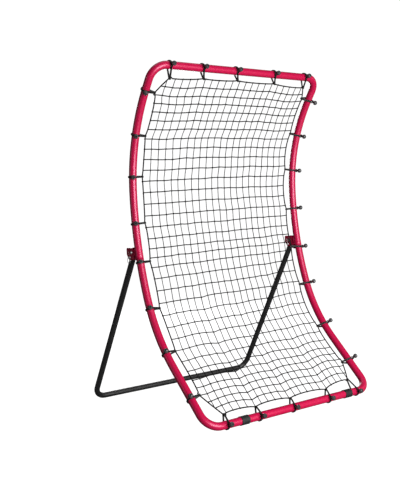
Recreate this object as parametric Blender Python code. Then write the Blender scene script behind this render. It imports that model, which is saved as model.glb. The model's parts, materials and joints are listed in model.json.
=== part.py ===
"""Pitch back rebounder.

A concave steel tube frame holds a knotted net with ball bungees. A U-shaped rear leg turns
on two pivot bolts in brackets behind the side rails, and ring-pull pins carry its load.

Metres, +Z up, +X to the right seen from the front. The net faces -Y. The origin is on the
ground, under the middle of the whole object.
"""

import math

import bmesh
import bpy
from mathutils import Matrix, Vector

# ---------------------------------------------------------------- driving dimensions

# Frame of round tube. The side rails share one profile in the YZ plane.
FRAME_WIDTH = 0.900  # between the side rails' centre lines
RAIL_RADIUS = 0.016
RAIL_WALL = 0.0015
RAIL_SIDES = 12
CORNER_RADIUS = 0.064
FRONT_BAR_Y = -0.4015
FRONT_BAR_Z = 0.0214  # the bar stands on the cords that wrap it
RAIL_START_HEADING = math.radians(45.5)  # above the ground, going back from the front bar
# Each stretch of the profile, from the front bar up: its length, and its heading at its end.
RAIL_STRETCHES = (
    (0.291, math.radians(45.5)),
    (0.306, math.radians(72.5)),
    (0.436, math.radians(90.2)),
    (0.423, math.radians(124.9)),
    (0.114, math.radians(124.9)),
)
RAIL_LENGTH = sum(length for length, _ in RAIL_STRETCHES)
CHORD_SAG = 0.0004  # between two rings on a curve
RING_CLEAR = 0.010  # the least room between a ring and the ends of a rail
JOINT_STATION = 0.765  # where the lower and the upper half of the frame meet
JOINT_LIP = 0.002  # each half is cut square to the profile for this length
SPIGOT_LENGTH = 0.080
SPIGOT_RADIUS = 0.0137
SPIGOT_WALL = 0.002

# Rear leg: one U of thinner tube.
LEG_RADIUS = 0.0125
LEG_WALL = 0.0015
LEG_SIDES = 12
LEG_CORNER_RADIUS = 0.055
FOOT_BAR_Y = FRONT_BAR_Y + 0.834
LEG_SOLID_END = 0.013  # the spun-closed end of the tube beside each pivot

# Leg brackets: a channel of plate welded behind each rail.
BRACKET_STATION = 0.795
PIVOT_BEHIND_RAIL = 0.032
PLATE = 0.003
WEB_PLATE = 0.002
CHEEK_GAP = 0.026
WELD_GAP = 0.0003
# Cheek outline around the pivot, in y and z, with each corner's radius.
CHEEK_BACK = 0.036
CHEEK_TOP = 0.0195
CHEEK_BOTTOM = -0.030
CHEEK_CORNERS = ((CHEEK_BACK, CHEEK_TOP, 0.007), (CHEEK_BACK, -0.009, 0.010), (0.020, CHEEK_BOTTOM, 0.008))
HOLE_RADIUS = 0.0043
SPARE_HOLE_RADIUS = 0.0030
LOCK_ARC_RADIUS = 0.0235  # from the pivot to the lock pin's hole and the spare holes
SPARE_HOLE_STEPS = (1, 2, 3)
SPARE_HOLE_STEP = math.radians(21.5)
NOTCH_SWEEP = math.radians(62)  # lets the leg fold forward off the pins

# Fasteners.
BOLT_RADIUS = 0.0040
BOLT_HEAD_RADIUS = 0.0070
BOLT_HEAD_HEIGHT = 0.0045
NUT_RADIUS = 0.0075
NUT_HEIGHT = 0.0065
PIN_COLLAR_RADIUS = 0.0062
PIN_COLLAR = 0.0015
PIN_EYE_RADIUS = 0.0042
PIN_EYE_LENGTH = 0.0075
PIN_EYE_HOLE = 0.0019
PIN_TIP = 0.0060  # stands out of the inner cheek
RING_RADIUS = 0.0120
RING_WIRE = 0.0009
RING_STEPS = 16
RING_SIDES = 5

# Ball bungees. Around a tube, u points away from the net and v to the net's front.
CORD_RADIUS = 0.0018
CORD_PAIR = 1.9  # two strands lie side by side, so the cord is this much wider than it is thick
CORD_SIDES = 5
CORD_WRAP_RADIUS = 0.0189
BALL_RADIUS = 0.0100
BALL_U = 0.0169
BALL_V = 0.0299
ROPE_OFFSET = 0.045  # from a tube's centre line in to the net's edge rope
LOOP_RADIUS = 0.0048  # the cord's turn around the edge rope
LEFT_STATIONS = (0.136, 0.354, 0.553, 0.748, 0.907, 1.099, 1.271, 1.459)
RIGHT_STATIONS = (0.152, 0.362, 0.576, 0.753, 0.940, 1.121, 1.290, 1.464)
TOP_PLACES = (-0.376, -0.214, -0.036, 0.178, 0.364)
BOTTOM_PLACES = (-0.362, -0.196, -0.014, 0.191, 0.363)

# Net and edge rope.
ROPE_RADIUS = 0.0022
ROPE_SIDES = 5
ROPE_SAG = 0.009
ROPE_STRAIGHT = 0.006  # each side of a bungee
NET_THICKNESS = 0.002
NET_HALF_WIDTH = 0.384
NET_CORNER_CUT = (0.030, 0.060)
NET_STATIONS = (0.067, 1.503)
NET_STRIPS = 24

# Rubber sleeves on the front bar.
SLEEVE_RADIUS = 0.0183
SLEEVE_BORE = 0.0166
SLEEVE_LENGTH = 0.040
SLEEVE_PLACES = {"left": -0.274, "right": 0.308}

ROUND_STEP = math.radians(15)
HALF_WIDTH = FRAME_WIDTH / 2
SIDES = {"left": -1, "right": 1}
X_AXIS = Vector((1, 0, 0))


# ---------------------------------------------------------------- materials and objects


def make_material(name, colour, roughness, metallic):
    material = bpy.data.materials.new(name)
    material.use_nodes = True
    shader = material.node_tree.nodes["Principled BSDF"]
    shader.inputs["Base Color"].default_value = (*colour, 1)
    shader.inputs["Roughness"].default_value = roughness
    shader.inputs["Metallic"].default_value = metallic
    return material


def make_materials():
    return {
        "frame": make_material("crimson_powder_coat", (0.45, 0.004, 0.035), 0.3, 0.0),
        "bracket": make_material("crimson_plate", (0.30, 0.004, 0.022), 0.35, 0.0),
        "leg": make_material("black_powder_coat", (0.010, 0.010, 0.010), 0.45, 0.0),
        "zinc": make_material("zinc_plate", (0.62, 0.63, 0.65), 0.25, 1.0),
        "spigot": make_material("bare_steel", (0.45, 0.45, 0.46), 0.4, 1.0),
        "sleeve": make_material("black_rubber", (0.020, 0.022, 0.022), 0.7, 0.0),
        "bungee": make_material("black_elastic", (0.015, 0.015, 0.015), 0.5, 0.0),
        "net": make_material("black_cord", (0.010, 0.010, 0.010), 0.8, 0.0),
    }


def clear_scene():
    for obj in list(bpy.data.objects):
        bpy.data.objects.remove(obj, do_unlink=True)


def mesh_from(bm, name):
    bmesh.ops.recalc_face_normals(bm, faces=bm.faces)
    mesh = bpy.data.meshes.new(name)
    bm.to_mesh(mesh)
    bm.free()
    return mesh


def add_object(name, mesh, material, location=(0, 0, 0), smooth=True):
    """A scene object whose mesh is given relative to its location."""
    obj = bpy.data.objects.new(name, mesh)
    bpy.context.scene.collection.objects.link(obj)
    obj.location = location
    if material:
        mesh.materials.clear()
        mesh.materials.append(material)
    if smooth:
        mesh.shade_smooth()
        mesh.set_sharp_from_angle(angle=math.radians(40))
    return obj


def add_boolean(obj, cutter, operation="DIFFERENCE"):
    cutter.hide_render = True
    cutter.display_type = "WIRE"
    modifier = obj.modifiers.new(operation.title() + "_" + cutter.name, "BOOLEAN")
    modifier.operation = operation
    modifier.object = cutter


def keep_parent(child, parent):
    """Parents a piece without moving it."""
    bpy.context.view_layer.update()
    child.parent = parent
    child.matrix_parent_inverse = parent.matrix_world.inverted()


# ---------------------------------------------------------------- shape helpers


def arc_steps(start, end):
    """Angles from start to end, about ROUND_STEP apart."""
    count = max(1, math.ceil(abs(end - start) / ROUND_STEP))
    return [start + (end - start) * i / count for i in range(count + 1)]


def ring_points(centre, tangent, normal, radius, sides, phase):
    side = tangent.cross(normal)
    angles = (phase + 2 * math.pi * i / sides for i in range(sides))
    return [centre + radius * (math.cos(a) * normal + math.sin(a) * side) for a in angles]


def path_tangents(points, closed):
    tangents = []
    for i, point in enumerate(points):
        before = points[i - 1] if i or closed else point
        after = points[(i + 1) % len(points)] if i + 1 < len(points) or closed else point
        tangents.append(((after - point).normalized() + (point - before).normalized()).normalized())
    return tangents


def sweep(bm, points, radii, sides, normal, phase=0.0, closed=False):
    """Skins rings along a path, and returns them. The first ring's normal is given."""
    tangents = path_tangents(points, closed)
    rings = []
    for point, tangent, radius in zip(points, tangents, radii):
        normal = (normal - normal.dot(tangent) * tangent).normalized()
        corners = ring_points(point, tangent, normal, radius, sides, phase)
        rings.append([bm.verts.new(corner) for corner in corners])
    pairs = list(zip(rings, rings[1:])) + ([(rings[-1], rings[0])] if closed else [])
    for first, second in pairs:
        for i in range(sides):
            j = (i + 1) % sides
            bm.faces.new((first[i], first[j], second[j], second[i]))
    return rings


def bridge_ends(bm, outer, inner):
    """The flat ring between a tube's outer and inner wall."""
    for i in range(len(outer)):
        j = (i + 1) % len(outer)
        bm.faces.new((outer[i], outer[j], inner[j], inner[i]))


def hollow_tube(name, points, radius, wall, sides, normal, phase=0.0):
    bm = bmesh.new()
    outer = sweep(bm, points, [radius] * len(points), sides, normal, phase)
    inner = sweep(bm, points, [radius - wall] * len(points), sides, normal, phase)
    bridge_ends(bm, outer[0], inner[0])
    bridge_ends(bm, outer[-1], inner[-1])
    return mesh_from(bm, name)


def solid_tube(name, points, radii, sides, normal, phase=0.0):
    bm = bmesh.new()
    rings = sweep(bm, points, radii, sides, normal, phase)
    bm.faces.new(rings[0])
    bm.faces.new(rings[-1])
    return mesh_from(bm, name)


def turned_along_x(name, profile, sides=16, phase=0.0):
    """A solid turned about the X axis from (x, radius) steps."""
    points = [Vector((x, 0, 0)) for x, _ in profile]
    bm = bmesh.new()
    rings = []
    for point, (_, radius) in zip(points, profile):
        corners = ring_points(point, X_AXIS, Vector((0, 0, 1)), radius, sides, phase)
        rings.append([bm.verts.new(corner) for corner in corners])
    for first, second in zip(rings, rings[1:]):
        bridge_ends(bm, first, second)
    bm.faces.new(rings[0])
    bm.faces.new(rings[-1])
    return mesh_from(bm, name)


def plate_in_yz(name, outline, x_low, x_high):
    """A flat outline of (y, z) points extruded between two x values."""
    bm = bmesh.new()
    low = [bm.verts.new((x_low, y, z)) for y, z in outline]
    face = bm.faces.new(low)
    grown = bmesh.ops.extrude_face_region(bm, geom=[face])
    moved = [item for item in grown["geom"] if isinstance(item, bmesh.types.BMVert)]
    bmesh.ops.translate(bm, verts=moved, vec=(x_high - x_low, 0, 0))
    return mesh_from(bm, name)


def rounded_corner(before, corner, after, radius):
    """The arc that replaces a convex outline corner."""
    inwards = [(Vector(end) - Vector(corner)).normalized() for end in (before, after)]
    half_angle = inwards[0].angle(inwards[1]) / 2
    centre = Vector(corner) + (inwards[0] + inwards[1]).normalized() * radius / math.sin(half_angle)
    reach = radius / math.tan(half_angle)
    start, end = (Vector(corner) + way * reach - centre for way in inwards)
    sweep_angle = math.pi - 2 * half_angle
    turn = math.copysign(1, start.x * end.y - start.y * end.x)
    first = math.atan2(start.y, start.x)
    steps = arc_steps(0, sweep_angle)
    return [
        (centre.x + radius * math.cos(first + turn * a), centre.y + radius * math.sin(first + turn * a))
        for a in steps
    ]


# ---------------------------------------------------------------- the rails' profile


def rail_place(station):
    """The point (y, z) on the profile at this length from the front bar, and its heading."""
    y, z, heading = FRONT_BAR_Y, FRONT_BAR_Z, RAIL_START_HEADING
    left = station
    for length, end_heading in RAIL_STRETCHES:
        part = min(left, length)
        turn = (end_heading - heading) * part / length
        if abs(turn) < 1e-9:
            y += part * math.cos(heading)
            z += part * math.sin(heading)
        else:
            radius = part / turn
            y += radius * (math.sin(heading + turn) - math.sin(heading))
            z += radius * (math.cos(heading) - math.cos(heading + turn))
        heading += turn
        left -= part
        if left <= 0:
            break
    return y, z, heading


def on_net(x, station):
    y, z, _ = rail_place(station)
    return Vector((x, y, z))


def rail_axes(station):
    """The profile's tangent, and the net's front side, as vectors."""
    heading = rail_place(station)[2]
    tangent = Vector((0, math.cos(heading), math.sin(heading)))
    front = Vector((0, -math.sin(heading), math.cos(heading)))
    return tangent, front


def ring_stations():
    """Stations along the profile, close enough that straight steps keep to its curves."""
    stations, start, heading = [0.0], 0.0, RAIL_START_HEADING
    for length, end_heading in RAIL_STRETCHES:
        turn = abs(end_heading - heading)
        count = math.ceil(math.sqrt(length * turn / (8 * CHORD_SAG))) or 1
        stations += [start + length * i / count for i in range(1, count + 1)]
        start += length
        heading = end_heading
    return stations


def frame_half_path(end_station):
    """A U: up to the end station on one side, round the bar and back on the other side."""
    up = 1 if end_station > JOINT_STATION else -1
    start = JOINT_STATION + up * WELD_GAP / 2
    bend_start = end_station - up * CORNER_RADIUS
    low, high = sorted((start + up * RING_CLEAR, bend_start - up * RING_CLEAR))
    between = [station for station in ring_stations() if low < station < high]
    stations = [start, start + up * JOINT_LIP, *sorted(between, reverse=up < 0), bend_start]
    side = [on_net(-HALF_WIDTH, station) for station in stations]
    along = up * rail_axes(end_station)[0]
    centre = side[-1] + CORNER_RADIUS * X_AXIS
    for angle in arc_steps(0, math.pi / 2)[1:]:
        side.append(centre + CORNER_RADIUS * (math.sin(angle) * along - math.cos(angle) * X_AXIS))
    mirrored = [Vector((-point.x, point.y, point.z)) for point in reversed(side)]
    return side + mirrored


# ---------------------------------------------------------------- the leg and its pivots


def pivot_point():
    """The leg's pivot line, in y and z."""
    y, z, _ = rail_place(BRACKET_STATION)
    back = -rail_axes(BRACKET_STATION)[1]
    return Vector((0, y, z)) + PIVOT_BEHIND_RAIL * back


def leg_direction():
    foot = Vector((0, FOOT_BAR_Y, LEG_RADIUS * math.cos(math.pi / LEG_SIDES)))
    return (foot - pivot_point()).normalized(), (foot - pivot_point()).length


def lock_angle(step=0):
    """The angle of a lock hole around the pivot. Step 0 holds the pin, on the leg's axis."""
    direction = leg_direction()[0]
    return math.atan2(direction.z, direction.y) + step * SPARE_HOLE_STEP


def lock_hole(step=0):
    angle = lock_angle(step)
    return pivot_point() + LOCK_ARC_RADIUS * Vector((0, math.cos(angle), math.sin(angle)))


def leg_path(start):
    """From this far down the left leg, round the foot bar, and as far up the right leg."""
    direction, length = leg_direction()
    top = pivot_point() - HALF_WIDTH * X_AXIS
    centre = top + (length - LEG_CORNER_RADIUS) * direction + LEG_CORNER_RADIUS * X_AXIS
    side = [top + start * direction]
    for angle in arc_steps(0, math.pi / 2):
        side.append(centre + LEG_CORNER_RADIUS * (math.sin(angle) * direction - math.cos(angle) * X_AXIS))
    mirrored = [Vector((-point.x, point.y, point.z)) for point in reversed(side)]
    return side + mirrored


def domed_leg_path():
    """The leg's path and radii, with each end closed by a dome around its pivot."""
    direction = leg_direction()[0]
    angles = list(reversed(arc_steps(math.radians(25), math.radians(75))))
    left, right = ([pivot_point() + side * HALF_WIDTH * X_AXIS] * len(angles) for side in (-1, 1))
    rises = [LEG_RADIUS * math.sin(angle) * direction for angle in angles]
    radii = [LEG_RADIUS * math.cos(angle) for angle in angles]
    left = [point - rise for point, rise in zip(left, rises)]
    right = [point - rise for point, rise in zip(right, rises)]
    middle = leg_path(0.0)
    points = left + middle + right[::-1]
    return points, radii + [LEG_RADIUS] * len(middle) + radii[::-1]


def leg_ring_axes():
    """The normal and the phase that turn one facet of the foot bar flat to the ground."""
    direction = leg_direction()[0]
    normal = X_AXIS.cross(direction).normalized()
    # Along the foot bar the tangent is +X, so the ring's other axis is X cross the normal.
    side = X_AXIS.cross(normal)
    down = Vector((0, 0, -1))
    return normal, math.atan2(down.dot(side), down.dot(normal)) + math.pi / LEG_SIDES


def lock_notch_outline():
    """The arc slot that opens the lock pin's hole through the back of the leg."""
    start = lock_angle()
    sweep_angles = arc_steps(start, start + NOTCH_SWEEP)
    outer, inner = LOCK_ARC_RADIUS + HOLE_RADIUS, LOCK_ARC_RADIUS - HOLE_RADIUS
    pivot = pivot_point()
    hole = lock_hole()
    points = [(pivot.y + outer * math.cos(a), pivot.z + outer * math.sin(a)) for a in sweep_angles]
    points += [(pivot.y + inner * math.cos(a), pivot.z + inner * math.sin(a)) for a in reversed(sweep_angles)]
    round_end = arc_steps(start + math.pi, start + 2 * math.pi)[1:-1]
    points += [(hole.y + HOLE_RADIUS * math.cos(a), hole.z + HOLE_RADIUS * math.sin(a)) for a in round_end]
    return points


# ---------------------------------------------------------------- sub-parts


def build_frame(materials):
    """Two U halves, and the spigots that join them inside the side rails."""
    spigot_path = []
    for name, end in (("lower_frame_tube", 0.0), ("upper_frame_tube", RAIL_LENGTH)):
        path = frame_half_path(end)
        mesh = hollow_tube(name, path, RAIL_RADIUS, RAIL_WALL, RAIL_SIDES, X_AXIS)
        add_object(name, mesh, materials["frame"])
        spigot_path.append(path[1] + SPIGOT_LENGTH / 2 * (path[2] - path[1]).normalized())
    middle = on_net(-HALF_WIDTH, JOINT_STATION)
    spigot_path.insert(1, middle)
    for side, sign in SIDES.items():
        name = side + "_joint_spigot"
        points = [point - middle for point in spigot_path]
        mesh = hollow_tube(name, points, SPIGOT_RADIUS, SPIGOT_WALL, RAIL_SIDES, X_AXIS)
        add_object(name, mesh, materials["spigot"], on_net(sign * HALF_WIDTH, JOINT_STATION))


def cheek_outline():
    """A cheek's outline in y and z. Its front edge lies along the rail."""
    pivot = pivot_point()
    tangent, front = rail_axes(BRACKET_STATION)
    foot_of_web = (PIVOT_BEHIND_RAIL - RAIL_RADIUS - WELD_GAP) * front

    def on_front_edge(z):
        return (foot_of_web + tangent * ((z - foot_of_web.z) / tangent.z)).y

    corners = [(on_front_edge(CHEEK_TOP), CHEEK_TOP, 0), *CHEEK_CORNERS]
    corners.append((on_front_edge(CHEEK_BOTTOM), CHEEK_BOTTOM, 0))
    outline = []
    for i, (y, z, radius) in enumerate(corners):
        if radius:
            outline += rounded_corner(corners[i - 1][:2], (y, z), corners[(i + 1) % len(corners)][:2], radius)
        else:
            outline.append((y, z))
    return [(pivot.y + y, pivot.z + z) for y, z in outline]


def channel_outline():
    """The room between the cheeks, behind the web that joins them."""
    tangent, front = rail_axes(BRACKET_STATION)
    web_back = pivot_point() + (PIVOT_BEHIND_RAIL - RAIL_RADIUS - WELD_GAP - WEB_PLATE) * front
    reach = 2 * CHEEK_BACK
    corners = [web_back + reach * tangent, web_back - reach * tangent]
    corners += [corner - reach * front for corner in reversed(corners)]
    return [(corner.y, corner.z) for corner in corners]


def cross_hole(name, place, radius, sides=12):
    """A cutter along X through both cheeks of both brackets."""
    reach = HALF_WIDTH + CHEEK_GAP
    mesh = turned_along_x(name, ((-reach, radius), (reach, radius)), sides)
    cutter = add_object(name, mesh, None, place, smooth=False)
    cutter.hide_render = True
    cutter.display_type = "WIRE"
    return cutter


def build_brackets(materials):
    outline = cheek_outline()
    cutters = [cross_hole("pivot_hole", pivot_point(), HOLE_RADIUS)]
    cutters.append(cross_hole("lock_hole", lock_hole(), HOLE_RADIUS))
    for step in SPARE_HOLE_STEPS:
        cutters.append(cross_hole(f"spare_hole_{step}", lock_hole(step), SPARE_HOLE_RADIUS, 8))
    half_gap = CHEEK_GAP / 2
    for side, sign in SIDES.items():
        middle = sign * HALF_WIDTH
        name = side + "_leg_bracket"
        block = plate_in_yz(name, outline, middle - half_gap - PLATE, middle + half_gap + PLATE)
        bracket = add_object(name, block, materials["bracket"])
        channel = plate_in_yz(side + "_channel", channel_outline(), middle - half_gap, middle + half_gap)
        add_boolean(bracket, add_object(side + "_channel", channel, None, smooth=False))
        for cutter in cutters:
            add_boolean(bracket, cutter)


def build_leg(materials):
    normal, phase = leg_ring_axes()
    points, radii = domed_leg_path()
    mesh = solid_tube("support_leg_tube", points, radii, LEG_SIDES, normal, phase)
    leg = add_object("support_leg_tube", mesh, materials["leg"])
    core_points = leg_path(LEG_SOLID_END)
    core_radii = [LEG_RADIUS - LEG_WALL] * len(core_points)
    core = solid_tube("leg_bore", core_points, core_radii, LEG_SIDES, normal, phase)
    reach = HALF_WIDTH + CHEEK_GAP
    notch = plate_in_yz("lock_notch", lock_notch_outline(), -reach, reach)
    add_boolean(leg, add_object("leg_bore", core, None, smooth=False))
    add_boolean(leg, add_object("lock_notch", notch, None, smooth=False))
    add_boolean(leg, bpy.data.objects["pivot_hole"])
    pivot_axis = bpy.data.objects.new("leg_pivot", None)
    bpy.context.scene.collection.objects.link(pivot_axis)
    pivot_axis.location = pivot_point()
    keep_parent(leg, pivot_axis)


def build_pivot_bolt(side, sign, materials):
    """A domed-head bolt from outside, with its nut on the inner cheek. Profiles run outwards."""
    place = pivot_point() + sign * HALF_WIDTH * X_AXIS
    seat = CHEEK_GAP / 2 + PLATE + WELD_GAP
    tip = -seat - NUT_HEIGHT - 0.0015
    head = [(seat, BOLT_HEAD_RADIUS)]
    for angle in arc_steps(math.radians(20), math.radians(80)):
        rise = BOLT_HEAD_HEIGHT * math.sin(angle)
        head.append((seat + rise, BOLT_HEAD_RADIUS * math.cos(angle)))
    profile = [(tip, BOLT_RADIUS * 0.8), (tip + 0.001, BOLT_RADIUS), (seat, BOLT_RADIUS)] + head
    profile = [(sign * x, radius) for x, radius in profile]
    name = side + "_pivot_bolt"
    add_object(name, turned_along_x(name, profile, 12), materials["zinc"], place)
    name = side + "_pivot_nut"
    faces = ((-sign * seat, NUT_RADIUS), (-sign * (seat + NUT_HEIGHT), NUT_RADIUS))
    nut = add_object(name, turned_along_x(name, faces, 6), materials["zinc"], place, smooth=False)
    add_boolean(nut, bpy.data.objects["pivot_hole"])


def build_lock_pin(side, sign, materials):
    """A clevis pin with a cross-drilled eye. The ring hangs in the eye."""
    place = lock_hole() + sign * HALF_WIDTH * X_AXIS
    seat = CHEEK_GAP / 2 + PLATE + WELD_GAP
    tip = -seat - PIN_TIP
    collar_end = seat + PIN_COLLAR
    eye_end = collar_end + PIN_EYE_LENGTH
    profile = (
        (tip, BOLT_RADIUS * 0.6),
        (tip + 0.002, BOLT_RADIUS),
        (seat, BOLT_RADIUS),
        (seat, PIN_COLLAR_RADIUS),
        (collar_end, PIN_COLLAR_RADIUS),
        (collar_end, PIN_EYE_RADIUS),
        (eye_end - 0.001, PIN_EYE_RADIUS),
        (eye_end, PIN_EYE_RADIUS * 0.7),
    )
    name = side + "_lock_pin"
    mesh = turned_along_x(name, [(sign * x, radius) for x, radius in profile], 12)
    pin = add_object(name, mesh, materials["zinc"], place)
    eye = place + sign * (collar_end + PIN_EYE_LENGTH / 2) * X_AXIS
    drill = turned_along_x(name + "_drill", ((-0.01, PIN_EYE_HOLE), (0.01, PIN_EYE_HOLE)), 12)
    cutter = add_object(name + "_drill", drill, None, eye, smooth=False)
    cutter.rotation_euler.z = math.pi / 2
    add_boolean(pin, cutter)
    build_pull_ring(side, eye, pin, materials)


def build_pull_ring(side, eye, pin, materials):
    """A wire ring in the YZ plane, hanging from the eye. Its origin is on the eye's axis."""
    turns = [2 * math.pi * i / RING_STEPS for i in range(RING_STEPS)]
    points = [Vector((0, math.sin(a), math.cos(a) - 1)) * RING_RADIUS for a in turns]
    bm = bmesh.new()
    sweep(bm, points, [RING_WIRE] * RING_STEPS, RING_SIDES, X_AXIS, closed=True)
    ring = add_object(side + "_pull_ring", mesh_from(bm, side + "_pull_ring"), materials["zinc"], eye)
    keep_parent(ring, pin)


def build_sleeves(materials):
    for side, x in SLEEVE_PLACES.items():
        ends = [-SLEEVE_LENGTH / 2 * X_AXIS, SLEEVE_LENGTH / 2 * X_AXIS]
        name = side + "_bar_sleeve"
        wall = SLEEVE_RADIUS - SLEEVE_BORE
        mesh = hollow_tube(name, ends, SLEEVE_RADIUS, wall, RAIL_SIDES, rail_axes(0)[0])
        add_object(name, mesh, materials["sleeve"], (x, FRONT_BAR_Y, FRONT_BAR_Z))


def bungee_path():
    """The cord from the ball, across the tube's front, round the edge rope and back behind."""

    def at(radius, degrees, u=0.0):
        angle = math.radians(degrees)
        return Vector((u + radius * math.cos(angle), radius * math.sin(angle), 0))

    points = [Vector((BALL_U - 0.002, BALL_V - 0.002, 0))]
    points += [at(CORD_WRAP_RADIUS, degrees) for degrees in (84, 110)]
    points += [at(LOOP_RADIUS, degrees, -ROPE_OFFSET) for degrees in (72, 126, 180, 234, 288)]
    points += [at(CORD_WRAP_RADIUS, degrees) for degrees in (-109, -84, -58, -33, -7, 18, 40)]
    points.append(Vector((BALL_U + 0.002, BALL_V - 0.002, 0)))
    return points


def make_bungee_mesh(material):
    """Cord and ball as one body, in u, v and the tube's direction as x, y and z."""
    path = bungee_path()
    cord = solid_tube("bungee_cord", path, [CORD_RADIUS] * len(path), CORD_SIDES, Vector((0, 0, 1)))
    for vertex in cord.vertices:
        vertex.co.z *= CORD_PAIR
    shape = add_object("bungee_shape", cord, None, smooth=False)
    bm = bmesh.new()
    bmesh.ops.create_icosphere(bm, subdivisions=2, radius=BALL_RADIUS)
    ball = add_object("bungee_ball", mesh_from(bm, "bungee_ball"), None, (BALL_U, BALL_V, 0), smooth=False)
    add_boolean(shape, ball, "UNION")
    bpy.context.view_layer.update()
    joined = shape.evaluated_get(bpy.context.evaluated_depsgraph_get())
    mesh = bpy.data.meshes.new_from_object(joined)
    mesh.name = "ball_bungee"
    for helper in (shape, ball):
        bpy.data.objects.remove(helper, do_unlink=True)
    mesh.materials.clear()
    mesh.materials.append(material)
    mesh.shade_smooth()
    return mesh


def place_bungee(name, mesh, centre, outward, front):
    bungee = bpy.data.objects.new(name, mesh)
    bpy.context.scene.collection.objects.link(bungee)
    axes = Matrix((outward, front, outward.cross(front))).transposed()
    bungee.matrix_world = Matrix.Translation(centre) @ axes.to_4x4()


def build_bungees(materials):
    mesh = make_bungee_mesh(materials["bungee"])
    for side, stations in (("left", LEFT_STATIONS), ("right", RIGHT_STATIONS)):
        for i, station in enumerate(stations, 1):
            sign = SIDES[side]
            centre = on_net(sign * HALF_WIDTH, station)
            place_bungee(f"{side}_bungee_{i}", mesh, centre, sign * X_AXIS, rail_axes(station)[1])
    bars = (("bottom", 0.0, -1, BOTTOM_PLACES), ("top", RAIL_LENGTH, 1, TOP_PLACES))
    for edge, station, sign, places in bars:
        tangent, front = rail_axes(station)
        for i, x in enumerate(places, 1):
            place_bungee(f"{edge}_bungee_{i}", mesh, on_net(x, station), sign * tangent, front)


def rope_anchors():
    """Each bungee's place on the net's face as (x, station), going round from bottom left."""
    inner = HALF_WIDTH - ROPE_OFFSET
    left = [(-inner, station, "side") for station in LEFT_STATIONS]
    top = [(x, RAIL_LENGTH - ROPE_OFFSET, "bar") for x in TOP_PLACES]
    right = [(inner, station, "side") for station in reversed(RIGHT_STATIONS)]
    bottom = [(x, ROPE_OFFSET, "bar") for x in reversed(BOTTOM_PLACES)]
    return left + top + right + bottom


def rope_path():
    """The edge rope: straight through each bungee's loop, and sagging in between them."""
    anchors = rope_anchors()
    middle = Vector((0, RAIL_LENGTH / 2))
    points = []
    for i, (x, station, kind) in enumerate(anchors):
        next_x, next_station, next_kind = anchors[(i + 1) % len(anchors)]
        here, there = Vector((x, station)), Vector((next_x, next_station))
        along = Vector((0, 1)) if kind == "side" else Vector((1, 0))
        along *= math.copysign(ROPE_STRAIGHT, along.dot(there - here))
        points += [here - along, here + along]
        chord = there - here
        across = Vector((-chord.y, chord.x)).normalized()
        inward = across if across.dot(middle - here) > 0 else -across
        if kind == next_kind:
            for share in (1 / 3, 2 / 3):
                points.append(here + share * chord + 4 * share * (1 - share) * ROPE_SAG * inward)
    return [on_net(x, station) for x, station in points]


def build_net(materials):
    bm = bmesh.new()
    path = rope_path()
    sweep(bm, path, [ROPE_RADIUS] * len(path), ROPE_SIDES, X_AXIS, closed=True)
    add_object("net_edge_rope", mesh_from(bm, "net_edge_rope"), materials["net"])
    bm = bmesh.new()
    rings = []
    low, high = NET_STATIONS
    cut_in, cut_up = NET_CORNER_CUT
    step = (high - low - 2 * cut_up) / NET_STRIPS
    stations = [low, *(low + cut_up + step * i for i in range(NET_STRIPS + 1)), high]
    for station in stations:
        half = NET_HALF_WIDTH - (cut_in if station in (low, high) else 0)
        lift = NET_THICKNESS / 2 * rail_axes(station)[1]
        corners = [on_net(-half, station) + lift, on_net(half, station) + lift]
        corners += [on_net(half, station) - lift, on_net(-half, station) - lift]
        rings.append([bm.verts.new(corner) for corner in corners])
    for first, second in zip(rings, rings[1:]):
        bridge_ends(bm, first, second)
    bm.faces.new(rings[0])
    bm.faces.new(rings[-1])
    add_object("rebound_net", mesh_from(bm, "rebound_net"), materials["net"])


def main():
    clear_scene()
    materials = make_materials()
    build_frame(materials)
    build_brackets(materials)
    build_leg(materials)
    for side, sign in SIDES.items():
        build_pivot_bolt(side, sign, materials)
        build_lock_pin(side, sign, materials)
    build_sleeves(materials)
    build_bungees(materials)
    build_net(materials)


main()
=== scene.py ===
# %% [markdown]
# # A pitch back rebounder
#
# A ball thrown at the net springs back to the thrower. The net hangs on ball bungees inside a
# curved frame of crimson tube, and a black U of thinner tube props the frame from behind.
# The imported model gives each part's place and size, in metres. Here each plain part gets its
# fine shape and its finish: turned hardware, round tubes, braided cords and a knotted net.

import json
import math
import random

import bmesh
import bpy
from mathutils import Matrix, Vector, noise


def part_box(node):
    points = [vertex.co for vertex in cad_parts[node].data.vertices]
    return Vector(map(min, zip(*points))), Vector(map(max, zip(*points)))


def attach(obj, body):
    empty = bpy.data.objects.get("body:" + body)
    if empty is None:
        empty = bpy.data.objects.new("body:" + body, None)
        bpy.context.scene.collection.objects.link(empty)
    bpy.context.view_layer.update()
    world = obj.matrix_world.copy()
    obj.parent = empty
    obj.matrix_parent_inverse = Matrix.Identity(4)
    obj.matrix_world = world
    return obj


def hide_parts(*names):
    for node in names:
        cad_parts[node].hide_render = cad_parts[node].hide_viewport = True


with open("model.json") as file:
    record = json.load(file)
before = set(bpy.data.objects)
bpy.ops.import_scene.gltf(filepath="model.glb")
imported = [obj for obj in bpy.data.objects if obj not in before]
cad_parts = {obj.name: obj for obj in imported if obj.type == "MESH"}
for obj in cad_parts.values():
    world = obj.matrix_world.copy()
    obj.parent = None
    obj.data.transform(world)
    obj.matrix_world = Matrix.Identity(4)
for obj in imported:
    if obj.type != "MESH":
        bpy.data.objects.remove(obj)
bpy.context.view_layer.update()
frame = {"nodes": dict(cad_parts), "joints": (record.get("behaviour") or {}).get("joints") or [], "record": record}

# %% [markdown]
# ## The dimensions that drive everything
#
# Both side rails follow one profile in the YZ plane: a straight foot, three arcs that curl it
# up and over, and a short straight top. The net hangs in the same curved surface, so a place on
# it is given as x and a station, the length along the profile from the front bar.

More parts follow.
